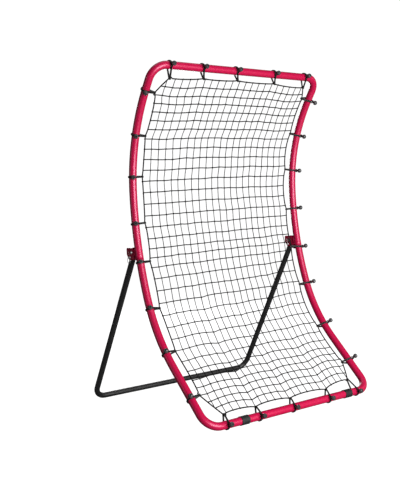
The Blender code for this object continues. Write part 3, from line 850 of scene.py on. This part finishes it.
# %% Pivot nuts
def nut_mesh():
    near, far, chamfer = -SEAT, -SEAT - NUT_HEIGHT, 0.0009
    outline = [(near, 0.0046), (near, NUT_RADIUS - chamfer), (near - chamfer / 2, NUT_RADIUS)]
    outline += [(far + chamfer, NUT_RADIUS), (far, NUT_RADIUS - 1.5 * chamfer)]
    outline += [(far, 0.0046), (near, 0.0046)]
    bm = bmesh.new()
    turned(bm, outline, 6)
    bmesh.ops.remove_doubles(bm, verts=bm.verts, dist=1e-6)
    return mesh_of(bm, "pivot_nut", sharp=20)


nut = nut_mesh()
for side, sign in SIDES.items():
    node = side + "_pivot_nut"
    place = side_place(sign, pivot_y, pivot_z)
    piece = add_piece(node + "_hex", nut, [dark_zinc], "frame", [node], place)
    edges = piece.modifiers.new("soft_edges", "BEVEL")
    edges.width = 0.0003
    edges.segments = 2
print("pivot nuts are on the inner cheeks")


# %% Lock pins
def pin_mesh():
    tip = -SEAT - 0.0060
    profile = [(tip, 0), (tip, 0.0020), (tip + 0.0008, 0.0029), (tip + 0.0026, BOLT_RADIUS)]
    profile += [(-SEAT + 0.001, BOLT_RADIUS), (SEAT, BOLT_RADIUS), (SEAT, COLLAR_RADIUS - 0.0003)]
    profile += [(SEAT + 0.0003, COLLAR_RADIUS), (COLLAR_END - 0.0003, COLLAR_RADIUS)]
    profile += [(COLLAR_END, COLLAR_RADIUS - 0.0003), (COLLAR_END, EYE_RADIUS)]
    edge = 0.0015
    profile.append((EYE_END - edge, EYE_RADIUS))
    for angle in arc_angles(math.radians(15), math.radians(75), math.radians(15)):
        x = EYE_END - edge + edge * math.sin(angle)
        profile.append((x, EYE_RADIUS - edge + edge * math.cos(angle)))
    profile.append((EYE_END, 0))
    bm = bmesh.new()
    turned(bm, profile, 40)
    drill = cross_cylinder((eye.x - HALF_WIDTH, 0, 0), EYE_HOLE, 0.01, "Y", 24)
    return cut(mesh_of(bm, "pin_blank"), [drill], "lock_pin")


pin = pin_mesh()
for side, sign in SIDES.items():
    node = side + "_lock_pin"
    place = side_place(sign, eye.y, eye.z)
    add_piece(node + "_turned", pin, [zinc], side + "_pin", [node], place)
print("lock pins:", len(pin.polygons), "faces each")


# %% Pull rings
def ring_mesh():
    """A split ring: two flat turns of wire, hanging from the eye."""
    turns, wire = 2, 0.0007
    steps = 48 * turns
    points = []
    for i in range(steps + 1):
        angle = 2 * math.pi * turns * i / steps
        drift = wire * (2 * i / steps - 1)
        points.append(Vector((drift, RING_RADIUS * math.sin(angle), RING_RADIUS * (math.cos(angle) - 1))))
    bm = bmesh.new()
    sweep(bm, points, wire, 10)
    return mesh_of(bm, "pull_ring")


ring = ring_mesh()
for side, sign in SIDES.items():
    node = side + "_pull_ring"
    place = side_place(sign, eye.y, eye.z, eye.x)
    add_piece(node + "_split", ring, [zinc], side + "_ring", [node], place)
print("pull rings hang", 2 * RING_RADIUS, "m below the pins")

# %% [markdown]
# ## Rubber sleeves
#
# Two short sleeves grip the front bar. Pushed on over the paint, such a sleeve is never a
# perfect cylinder: its ends roll in and its middle is a little waisted.


# %% Bar sleeves
def sleeve_mesh(length):
    outer, bore, roll = 0.0183, 0.0162, 0.0008
    profile = [(-length / 2, bore), (-length / 2, outer - roll)]
    steps = 12
    for i in range(steps + 1):
        share = i / steps
        x = (length / 2 - roll / 2) * (2 * share - 1)
        profile.append((x, outer - 0.00035 * math.sin(math.pi * share)))
    profile += [(length / 2, outer - roll), (length / 2, bore), (-length / 2, bore)]
    bm = bmesh.new()
    turned(bm, profile, 48)
    bmesh.ops.remove_doubles(bm, verts=bm.verts, dist=1e-6)
    return mesh_of(bm, "bar_sleeve", sharp=50)


for side in SIDES:
    low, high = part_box(side + "_bar_sleeve")
    middle = (low + high) / 2
    place = Matrix.Translation((middle.x, *FRONT_BAR))
    sleeve = sleeve_mesh(high.x - low.x)
    node = side + "_bar_sleeve"
    add_piece(side + "_rubber_sleeve", sleeve, [sleeve_rubber], "frame", [node], place)
    print(side, "sleeve at x", round(middle.x, 3))

# %% [markdown]
# ## Ball bungees
#
# A ball bungee is a loop of thin elastic with both ends knotted inside a plastic ball. The loop
# goes round the edge rope and the tube, and its far end is hooked over the neck of the ball. So
# two strands lie side by side the whole way, and only the last bight opens to pass the neck.
# One strand is drawn in the plane square to the tube, with u pointing away from the net and v
# to its front, and is mirrored to make the other. Each loop is then leaned towards its own
# place on the rope, because nobody hangs twenty-six of them quite square.

# %% Bungee dimensions
ELASTIC_RADIUS = 0.0021
STRAND_APART = 0.0021
BALL_RADIUS = 0.0100
BALL_REACH = 0.0350
BALL_ANGLE = {"side": 60, "top": 53, "bottom": 58}
ROPE_OFFSET = 0.045
ROPE_RADIUS = 0.0027
TOP_LIFT = 0.010
LEFT_STATIONS = (0.136, 0.354, 0.553, 0.748, 0.907, 1.099, 1.271, 1.459)
RIGHT_STATIONS = (0.152, 0.362, 0.576, 0.753, 0.940, 1.121, 1.290, 1.464)
TOP_PLACES = (-0.376, -0.214, -0.036, 0.178, 0.364)
BOTTOM_PLACES = (-0.362, -0.196, -0.014, 0.191, 0.363)
LEFT_TIPS = (0.147, 0.360, 0.552, 0.750, 0.910, 1.100, 1.267, 1.450)
RIGHT_TIPS = (0.153, 0.360, 0.577, 0.760, 0.938, 1.126, 1.294, 1.467)
TOP_TIPS = ((-0.361, 1.520), (-0.196, 1.530), (-0.015, 1.533), (0.194, 1.533), (0.377, 1.525))
BOTTOM_TIPS = ((-0.348, 0.043), (-0.185, 0.041), (0.003, 0.041), (0.212, 0.041), (0.365, 0.060))
count = len(LEFT_STATIONS + RIGHT_STATIONS + TOP_PLACES + BOTTOM_PLACES)
print(count, "bungees hold the net")


# %% Net surface
LIFT_START = 1.28
LIFT_LENGTH = 0.20
LIFT_HALF_WIDTH = 0.41


def net_lift(x, station):
    """How far the net stands in front of the rails' own curve. Only its top does."""
    rise = min(1, max(0, (station - LIFT_START) / LIFT_LENGTH))
    across = 1 - min(1, abs(x) / LIFT_HALF_WIDTH) ** 12
    return TOP_LIFT * rise * rise * (3 - 2 * rise) * across


def on_surface(x, station, lift=0.0):
    return on_net(x, station, lift + net_lift(x, station))


print("the net's top edge stands", TOP_LIFT, "m forward")


# %% Elastic route
def polar(radius, degrees, u=0.0, w=0.0):
    angle = math.radians(degrees)
    return Vector((u + radius * math.cos(angle), radius * math.sin(angle), w))


def half_route(ball_angle):
    """One strand: from inside the ball, behind the tube, round the rope and up to the bight."""
    wrap = RAIL_RADIUS + ELASTIC_RADIUS + 0.0002
    loop = ROPE_RADIUS + ELASTIC_RADIUS + 0.0001
    w = STRAND_APART
    points = [polar(BALL_REACH - 0.004, ball_angle, w=w), polar(0.0250, ball_angle - 1, w=w)]
    points.append(polar(0.0202, ball_angle - 7, w=w))
    points += [polar(wrap, degrees, w=w) for degrees in range(int(ball_angle) - 20, -106, -21)]
    points.append(Vector((-0.024, -0.0118, w)))
    points += [polar(loop, degrees, -ROPE_OFFSET, w) for degrees in (-70, -125, 180, 125, 70)]
    points.append(Vector((-0.024, 0.0118, w)))
    points += [polar(wrap, 106, w=w), polar(wrap + 0.0004, 92, w=w * 1.1)]
    points.append(polar(0.0200, ball_angle + 18, w=0.0040))
    points.append(polar(0.0218, ball_angle + 7, w=0.0056))
    points.append(polar(0.0225, ball_angle - 5, w=0.0046))
    return points


def elastic_route(ball_angle, tip):
    """Both strands as one cord, leaned so that its loop reaches the tip on the rope."""
    near = half_route(ball_angle)
    bight = polar(0.0227, ball_angle - 12)
    far = [Vector((point.x, point.y, -point.z)) for point in reversed(near)]
    leaned = []
    for point in near + [bight] + far:
        share = min(1.1, max(0, -point.x / ROPE_OFFSET))
        late = max(0, (share - 0.3) / 0.7)
        shift = Vector(((tip.x + ROPE_OFFSET) * late, tip.y * late, tip.z * share))
        leaned.append(point + shift)
    return smooth_path(leaned, 4)


square = elastic_route(60, Vector((-ROPE_OFFSET, 0, 0)))
length = sum((after - before).length for before, after in zip(square, square[1:]))
print("one loop takes", round(100 * length, 1), "cm of elastic")


# %% Ball and knot
def ball_profile():
    """A ball bored through. The knot sits in the wider mouth at its far end."""
    bore, mouth, depth = 0.0038, 0.0046, 0.0045
    profile = []
    start = math.asin(bore / BALL_RADIUS)
    end = math.pi - math.asin(mouth / BALL_RADIUS)
    for angle in arc_angles(start, end, math.radians(9)):
        profile.append((-BALL_RADIUS * math.cos(angle), BALL_RADIUS * math.sin(angle)))
    near, far = profile[0][0], profile[-1][0]
    inside = [(near + 0.003, 0), (near + 0.003, bore - 0.0004), (near + 0.0004, bore - 0.0003)]
    outside = [(far - 0.0006, mouth - 0.0008), (far - depth, mouth - 0.001), (far - depth, 0)]
    return inside + profile + outside


def add_ball(bm, ball_angle):
    """The ball with its bore towards the tube, and the ends' knot in its mouth."""
    axis = polar(1, ball_angle)
    centre = polar(BALL_REACH, ball_angle)
    start = len(bm.verts)
    turned(bm, ball_profile(), 28, material=1)
    bm.verts.ensure_lookup_table()
    verts = bm.verts[start:]
    bmesh.ops.rotate(bm, verts=verts, matrix=X_AXIS.rotation_difference(axis).to_matrix())
    bmesh.ops.translate(bm, verts=verts, vec=centre)
    across = axis.cross(Vector((0, 0, 1)))
    knot = []
    for i in range(15):
        turn = 2 * math.pi * 1.8 * i / 14
        ring = 0.0017 * (math.cos(turn) * across + math.sin(turn) * Vector((0, 0, 1)))
        knot.append(centre + axis * (0.0060 + 0.0020 * i / 14) + ring)
    sweep(bm, smooth_path(knot, 2), 0.0014, 8, material=0)


def bungee_mesh(name, ball_angle, tip):
    bm = bmesh.new()
    add_ball(bm, ball_angle)
    sweep(bm, elastic_route(ball_angle, tip), ELASTIC_RADIUS, 8, material=0)
    return mesh_of(bm, name, sharp=55)


print("ball and knot helpers ready")


# %% Hang the bungees
def hang_bungee(node, centre, outward, front, tip, kind):
    axes = Matrix((outward, front, outward.cross(front))).transposed().to_4x4()
    place = Matrix.Translation(centre) @ axes
    local_tip = place.inverted() @ tip
    mesh = bungee_mesh(node + "_tied", BALL_ANGLE[kind], local_tip)
    add_piece(node + "_tied", mesh, [bungee_cover, ball_plastic], "frame", [node], place)
    return len(mesh.polygons)


faces = 0
for side, stations, tips in (("left", LEFT_STATIONS, LEFT_TIPS), ("right", RIGHT_STATIONS, RIGHT_TIPS)):
    sign = SIDES[side]
    for i, (station, tip) in enumerate(zip(stations, tips), 1):
        centre = on_net(sign * HALF_WIDTH, station)
        held = on_net(sign * (HALF_WIDTH - ROPE_OFFSET), tip)
        front = rail_axes(station)[1]
        faces += hang_bungee(f"{side}_bungee_{i}", centre, sign * X_AXIS, front, held, "side")
bars = (("bottom", 0.0, -1, BOTTOM_PLACES, BOTTOM_TIPS), ("top", RAIL_LENGTH, 1, TOP_PLACES, TOP_TIPS))
for edge, station, sign, places, tips in bars:
    tangent, front = rail_axes(station)
    for i, (x, tip) in enumerate(zip(places, tips), 1):
        held = on_surface(*tip)
        faces += hang_bungee(f"{edge}_bungee_{i}", on_net(x, station), sign * tangent, front, held, edge)
print("the bungees have", faces, "faces")

# %% [markdown]
# ## The net
#
# The net is a grid of cords in the frame's curved surface, tied where they cross and bordered
# by a thicker edge rope. The bungees pull the rope out at their own places and let it bow in
# between them. So the rope is drawn first, as four bowed edges in (x, station), and the grid is
# stretched between them. Its meshes are not all one height: they are pulled long below the
# middle and lie short near both ends, so the rows are spaced by a curve of mesh heights.

# %% Net dimensions
COLUMNS = 22
ROWS = 34
INNER_X = HALF_WIDTH - ROPE_OFFSET
LOW_STATION = 0.045
HIGH_STATION = 1.531
LEFT_BOWS = (0.007, 0.009, 0.009, 0.009, 0.005, 0.006, 0.014)
RIGHT_BOWS = (0.009, 0.011, 0.009, 0.008, 0.013, 0.011, 0.003)
TOP_BOWS = (0.005, 0.005, 0.005, 0.006)
BOTTOM_BOWS = (0.011, 0.012, 0.012, 0.012)
MESH_HEIGHTS = (
    (0.05, 36), (0.20, 34), (0.27, 47), (0.36, 52), (0.62, 52), (0.70, 48), (0.76, 39), (0.81, 37),
    (0.87, 47), (1.04, 47), (1.14, 44), (1.26, 41), (1.33, 37), (1.45, 36), (1.53, 36),
)
ROW_RISE = 0.016
print("the net has", COLUMNS, "by", ROWS, "meshes")


# %% Row stations
def mesh_height(station):
    for (low, first), (high, second) in zip(MESH_HEIGHTS, MESH_HEIGHTS[1:]):
        if station <= high:
            share = max(0, (station - low) / (high - low))
            return first + (second - first) * share
    return MESH_HEIGHTS[-1][1]


def row_stations():
    """Stations of all rows, from the bottom rope to the top, with spacing from the curve."""
    stations = [LOW_STATION]
    span = (HIGH_STATION - LOW_STATION) / ROWS
    scale = 0.001
    for _ in range(30):
        stations = [LOW_STATION]
        for _ in range(ROWS):
            stations.append(stations[-1] + scale * mesh_height(stations[-1] + span / 2))
        scale *= (HIGH_STATION - LOW_STATION) / (stations[-1] - LOW_STATION)
    return stations


rows_at = row_stations()
print("meshes are", [round(1000 * (b - a)) for a, b in zip(rows_at, rows_at[1:])], "mm high")


# %% Bowed edges
def bow(place, anchors, depths):
    """How far the rope bows in at a place along an edge. It is 0 at each bungee."""
    for low, high, depth in zip(anchors, anchors[1:], depths):
        if low <= place <= high:
            share = (place - low) / (high - low)
            return depth * (4 * share * (1 - share)) ** 0.6
    return 0.0


def left_edge(station):
    return -INNER_X + bow(station, LEFT_TIPS, LEFT_BOWS)


def right_edge(station):
    return INNER_X - bow(station, RIGHT_TIPS, RIGHT_BOWS)


def tip_line(x, tips):
    """The station of the line from tip to tip, at a place across."""
    for (low, first), (high, second) in zip(tips, tips[1:]):
        if x <= high:
            share = max(0, (x - low) / (high - low))
            return first + (second - first) * share
    return tips[-1][1]


def bottom_edge(x):
    return tip_line(x, BOTTOM_TIPS) + bow(x, [tip[0] for tip in BOTTOM_TIPS], BOTTOM_BOWS)


def top_edge(x):
    return tip_line(x, TOP_TIPS) - bow(x, [tip[0] for tip in TOP_TIPS], TOP_BOWS)


print("edges bow by up to", 1000 * max(LEFT_BOWS + RIGHT_BOWS + TOP_BOWS + BOTTOM_BOWS), "mm")


# %% Edge rope
def between(start, end, step=0.012):
    count = max(1, round(abs(end - start) / step))
    return [start + (end - start) * i / count for i in range(count + 1)]


def rope_route():
    """The rope, round from the left rail's lowest bungee."""
    route = [(left_edge(s), s) for s in between(LEFT_TIPS[0], LEFT_TIPS[-1])]
    route += [(x, top_edge(x)) for x in between(TOP_TIPS[0][0], TOP_TIPS[-1][0])]
    route += [(right_edge(s), s) for s in between(RIGHT_TIPS[-1], RIGHT_TIPS[0])]
    route += [(x, bottom_edge(x)) for x in between(BOTTOM_TIPS[-1][0], BOTTOM_TIPS[0][0])]
    return [on_surface(x, station) for x, station in route]


bm = bmesh.new()
sweep(bm, smooth_path(rope_route(), 2, closed=True), ROPE_RADIUS, 12, closed=True)
rope = mesh_of(bm, "edge_rope")
add_piece("edge_rope", rope, [rope_cover], "frame", ["net_edge_rope"])
print("the edge rope has", len(rope.polygons), "faces")

# %% [markdown]
# ### Knots and strands
#
# A knotted net is never a perfect grid: each knot has slipped a little, and the cords wander
# between them. Each knot's place is its place in the grid plus a slow wave and a small slip of
# its own, both fading out at the rope. The knots are made like the cords, by sweeping a short
# tied curve, so they have lobes and catch the light instead of being beads.

# %% Knot places
NET_SEED = 11
random.seed(NET_SEED)
noise.seed_set(NET_SEED)
WAVE = 0.0030
SLIP = 0.0011
slips = []
for _ in range(COLUMNS + 1):
    slips.append([(random.uniform(-1, 1), random.uniform(-1, 1)) for _ in range(ROWS + 1)])


def knot_place(i, j):
    """The (x, station) of the crossing of column i and row j."""
    u = i / COLUMNS
    base = rows_at[j]
    v = (base - LOW_STATION) / (HIGH_STATION - LOW_STATION)
    flat_x = (2 * u - 1) * INNER_X
    left, right = left_edge(base), right_edge(base)
    x = left + (right - left) * u
    station = base + v**3 * (top_edge(flat_x) - HIGH_STATION)
    station += (1 - v) ** 3 * (bottom_edge(flat_x) - LOW_STATION)
    tilt = 0.55 + 0.45 * math.sin(math.pi * v)
    station += ROW_RISE * (u - 0.6) * tilt * min(1, (ROWS - j) / 2, j / 2)
    fade = min(1, COLUMNS / 3 * min(u, 1 - u), (ROWS - j) / 2, j / 2)
    wave = noise.noise_vector((flat_x * 7, base * 7, 3.0))
    slip = slips[i][j]
    across = fade * (WAVE * wave.x + SLIP * slip[0])
    return Vector((x + across, station + fade * (WAVE * wave.y + SLIP * slip[1])))


knots = [[knot_place(i, j) for j in range(ROWS + 1)] for i in range(COLUMNS + 1)]
print("laid out", (COLUMNS + 1) * (ROWS + 1), "crossings")

# %% Cut corners
corner_ropes = (
    (Vector((-INNER_X, LEFT_TIPS[0])), Vector(BOTTOM_TIPS[0])),
    (Vector((INNER_X, RIGHT_TIPS[0])), Vector(BOTTOM_TIPS[-1])),
    (Vector((-INNER_X, LEFT_TIPS[-1])), Vector(TOP_TIPS[0])),
    (Vector((INNER_X, RIGHT_TIPS[-1])), Vector(TOP_TIPS[-1])),
)
net_middle = Vector((0, RAIL_LENGTH / 2))


def beyond_corner(place):
    """How far a place lies outside the nearest cut corner. It is negative inside the net."""
    depths = []
    for start, end in corner_ropes:
        across = Vector((start.y - end.y, end.x - start.x)).normalized()
        if across.dot(net_middle - start) > 0:
            across.negate()
        depths.append(across.dot(place - start))
    return max(depths)


def clipped(places):
    """The stretch of a cord inside the cut corners, ended on the rope."""
    kept = []
    for first, second in zip(places, places[1:]):
        before, after = beyond_corner(first), beyond_corner(second)
        if before > 0 and after > 0:
            continue
        if before > 0:
            kept = [first.lerp(second, before / (before - after)), second]
            continue
        if not kept:
            kept = [first]
        kept.append(first.lerp(second, before / (before - after)) if after > 0 else second)
    return kept


cut_off = sum(beyond_corner(place) > 0 for column in knots for place in column)
print("the corner ropes cut off", cut_off, "crossings")

# %% Strands
COLUMN_CORD = 0.00170
ROW_CORD = 0.00230


def strand(bm, places, radius, lift, seed):
    """One cord of the net. It wanders a little between its knots."""
    route = smooth_path([Vector((place.x, place.y, 0)) for place in places], 4)
    points = []
    for place in route:
        wander = noise.noise_vector((place.x * 45, place.y * 45, seed))
        x = place.x + 0.0008 * wander.x
        station = place.y + 0.0008 * wander.y
        points.append(on_surface(x, station, lift + 0.0012 * wander.z))
    sweep(bm, points, radius, 6)


bm = bmesh.new()
for i in range(1, COLUMNS):
    strand(bm, clipped(knots[i]), COLUMN_CORD, -0.0008, i)
columns = mesh_of(bm, "net_columns")
add_piece("net_columns", columns, [net_twist], "frame", ["rebound_net"])
bm = bmesh.new()
for j in range(1, ROWS):
    strand(bm, clipped([column[j] for column in knots]), ROW_CORD, 0.0008, 100 + j)
rows = mesh_of(bm, "net_rows")
add_piece("net_rows", rows, [net_twist], "frame")
print("strands have", len(columns.polygons) + len(rows.polygons), "faces")

# %% Knots
KNOT_SIZE = 0.00105
KNOT_CORD = 0.00140


def knot_points(centre, right, up, front, turn):
    """A tied overhand curve about a crossing."""
    points = []
    steps = 14
    for i in range(steps):
        t = 2 * math.pi * i / steps
        a = math.sin(t) + 2 * math.sin(2 * t)
        b = math.cos(t) - 2 * math.cos(2 * t)
        across = a * math.cos(turn) - b * math.sin(turn)
        along = a * math.sin(turn) + b * math.cos(turn)
        points.append(centre + KNOT_SIZE * (across * right + along * up - 0.7 * math.sin(3 * t) * front))
    return points


bm = bmesh.new()
tied = 0
for column in knots:
    for place in column:
        if beyond_corner(place) > 0:
            continue
        up, front = rail_axes(place.y)
        points = knot_points(on_surface(*place), X_AXIS, up, front, random.uniform(0, 2 * math.pi))
        sweep(bm, points, KNOT_CORD, 5, closed=True)
        tied += 1
knot_mesh = mesh_of(bm, "net_knots")
add_piece("net_knots", knot_mesh, [net_twist], "frame")
print(tied, "knots with", len(knot_mesh.polygons), "faces")

# %% [markdown]
# ## Floor, light and camera
#
# The object stands on a white floor in a dark studio. One broad soft panel in front gives each
# tube a band of light between dark edges, which is what makes it look round. The other panels
# are weak: they lift the far side, the top, the back and the plated parts on the left.
# The floor and the sky look white to the camera, but light the tubes much less than they look:
# the Light Path node gives camera rays one shader and all other rays another.


# %% Floor
def floor_material():
    finish = Finish("pale_floor", Roughness=0.9, Specular_IOR_Level=0.0)
    tree = finish.tree
    tone = noise_node(tree, finish.coordinates, 3.0, 4.0)
    patches = remap(tree, tone, 0.3, 0.7)
    finish.set("Base Color", finish.mix(patches, (0.20, 0.20, 0.20), (0.23, 0.23, 0.23)))
    glow = tree.nodes.new("ShaderNodeEmission")
    glow.inputs["Strength"].default_value = 1.04
    added = tree.nodes.new("ShaderNodeAddShader")
    rays = tree.nodes.new("ShaderNodeLightPath")
    mix = tree.nodes.new("ShaderNodeMixShader")
    tree.links.new(finish.shader.outputs[0], added.inputs[0])
    tree.links.new(glow.outputs[0], added.inputs[1])
    tree.links.new(rays.outputs["Is Camera Ray"], mix.inputs["Fac"])
    tree.links.new(finish.shader.outputs[0], mix.inputs[1])
    tree.links.new(added.outputs[0], mix.inputs[2])
    tree.links.new(mix.outputs[0], tree.nodes["Material Output"].inputs["Surface"])
    return finish.material


bm = bmesh.new()
reach = 30.0
corners = ((-reach, -reach), (reach, -reach), (reach, reach), (-reach, reach))
bm.faces.new([bm.verts.new((x, y, 0)) for x, y in corners])
floor = bpy.data.objects.new("floor", mesh_of(bm, "floor"))
bpy.context.scene.collection.objects.link(floor)
floor.data.materials.append(floor_material())
print("floor laid")


# %% Lights
def add_panel(name, place, aim, size, power):
    light = bpy.data.lights.new(name, "AREA")
    light.shape = "RECTANGLE"
    light.size, light.size_y = size
    light.energy = power
    panel = bpy.data.objects.new(name, light)
    bpy.context.scene.collection.objects.link(panel)
    panel.location = place
    panel.rotation_euler = (Vector(aim) - Vector(place)).to_track_quat("-Z", "Y").to_euler()
    return panel


middle = (0, 0, 0.7)
add_panel("front_panel", (0.05, -3.2, 0.70), middle, (2.2, 1.7), 150)
add_panel("side_panel", (3.2, -1.4, 1.6), middle, (0.8, 1.6), 3)
add_panel("top_panel", (0, 0.6, 3.6), (0, 0, 0), (3.0, 3.0), 22)
add_panel("rear_panel", (1.6, 3.2, 1.4), middle, (1.2, 1.6), 45)
add_panel("fill_panel", (-3.4, 0.8, 1.2), middle, (0.5, 0.8), 4)
print("five panels hung")


# %% Sky
def make_sky():
    world = bpy.data.worlds.new("studio_sky")
    world.use_nodes = True
    tree = world.node_tree
    seen, lit = tree.nodes.new("ShaderNodeBackground"), tree.nodes["Background"]
    seen.inputs["Color"].default_value = (1, 1, 1, 1)
    seen.inputs["Strength"].default_value = 1.05
    lit.inputs["Color"].default_value = (1, 1, 1, 1)
    lit.inputs["Strength"].default_value = 0.06
    rays = tree.nodes.new("ShaderNodeLightPath")
    mix = tree.nodes.new("ShaderNodeMixShader")
    tree.links.new(rays.outputs["Is Camera Ray"], mix.inputs["Fac"])
    tree.links.new(lit.outputs[0], mix.inputs[1])
    tree.links.new(seen.outputs[0], mix.inputs[2])
    tree.links.new(mix.outputs[0], tree.nodes["World Output"].inputs["Surface"])
    bpy.context.scene.world = world


make_sky()
bpy.context.scene.view_settings.view_transform = "Standard"
print("sky and view set")

# %% Camera
CAMERA_PLACE = Vector((-2.2201, -2.7140, 0.8291))
CAMERA_TURN = math.radians(-37.521)
CAMERA_TILT = math.radians(2.942)
CAMERA_ROLL = math.radians(-2.730)
LENS = 71.47
SHIFT = (-0.0018, 0.0207)


def camera_axes():
    """Right, up and back, from the turn, the tilt down and the roll."""
    ahead = Vector((-math.sin(CAMERA_TURN), math.cos(CAMERA_TURN), -math.tan(CAMERA_TILT))).normalized()
    level = Vector((math.cos(CAMERA_TURN), math.sin(CAMERA_TURN), 0))
    upright = level.cross(ahead)
    right = math.cos(CAMERA_ROLL) * level + math.sin(CAMERA_ROLL) * upright
    up = math.cos(CAMERA_ROLL) * upright - math.sin(CAMERA_ROLL) * level
    return right, up, -ahead


lens = bpy.data.cameras.new("camera")
lens.lens = LENS
lens.sensor_width = 36
lens.sensor_fit = "HORIZONTAL"
lens.shift_x, lens.shift_y = SHIFT
camera = bpy.data.objects.new("camera", lens)
bpy.context.scene.collection.objects.link(camera)
camera.matrix_world = Matrix.Translation(CAMERA_PLACE) @ Matrix(camera_axes()).transposed().to_4x4()
bpy.context.scene.camera = camera
print("camera", round((CAMERA_PLACE - Vector(middle)).length, 2), "m away")
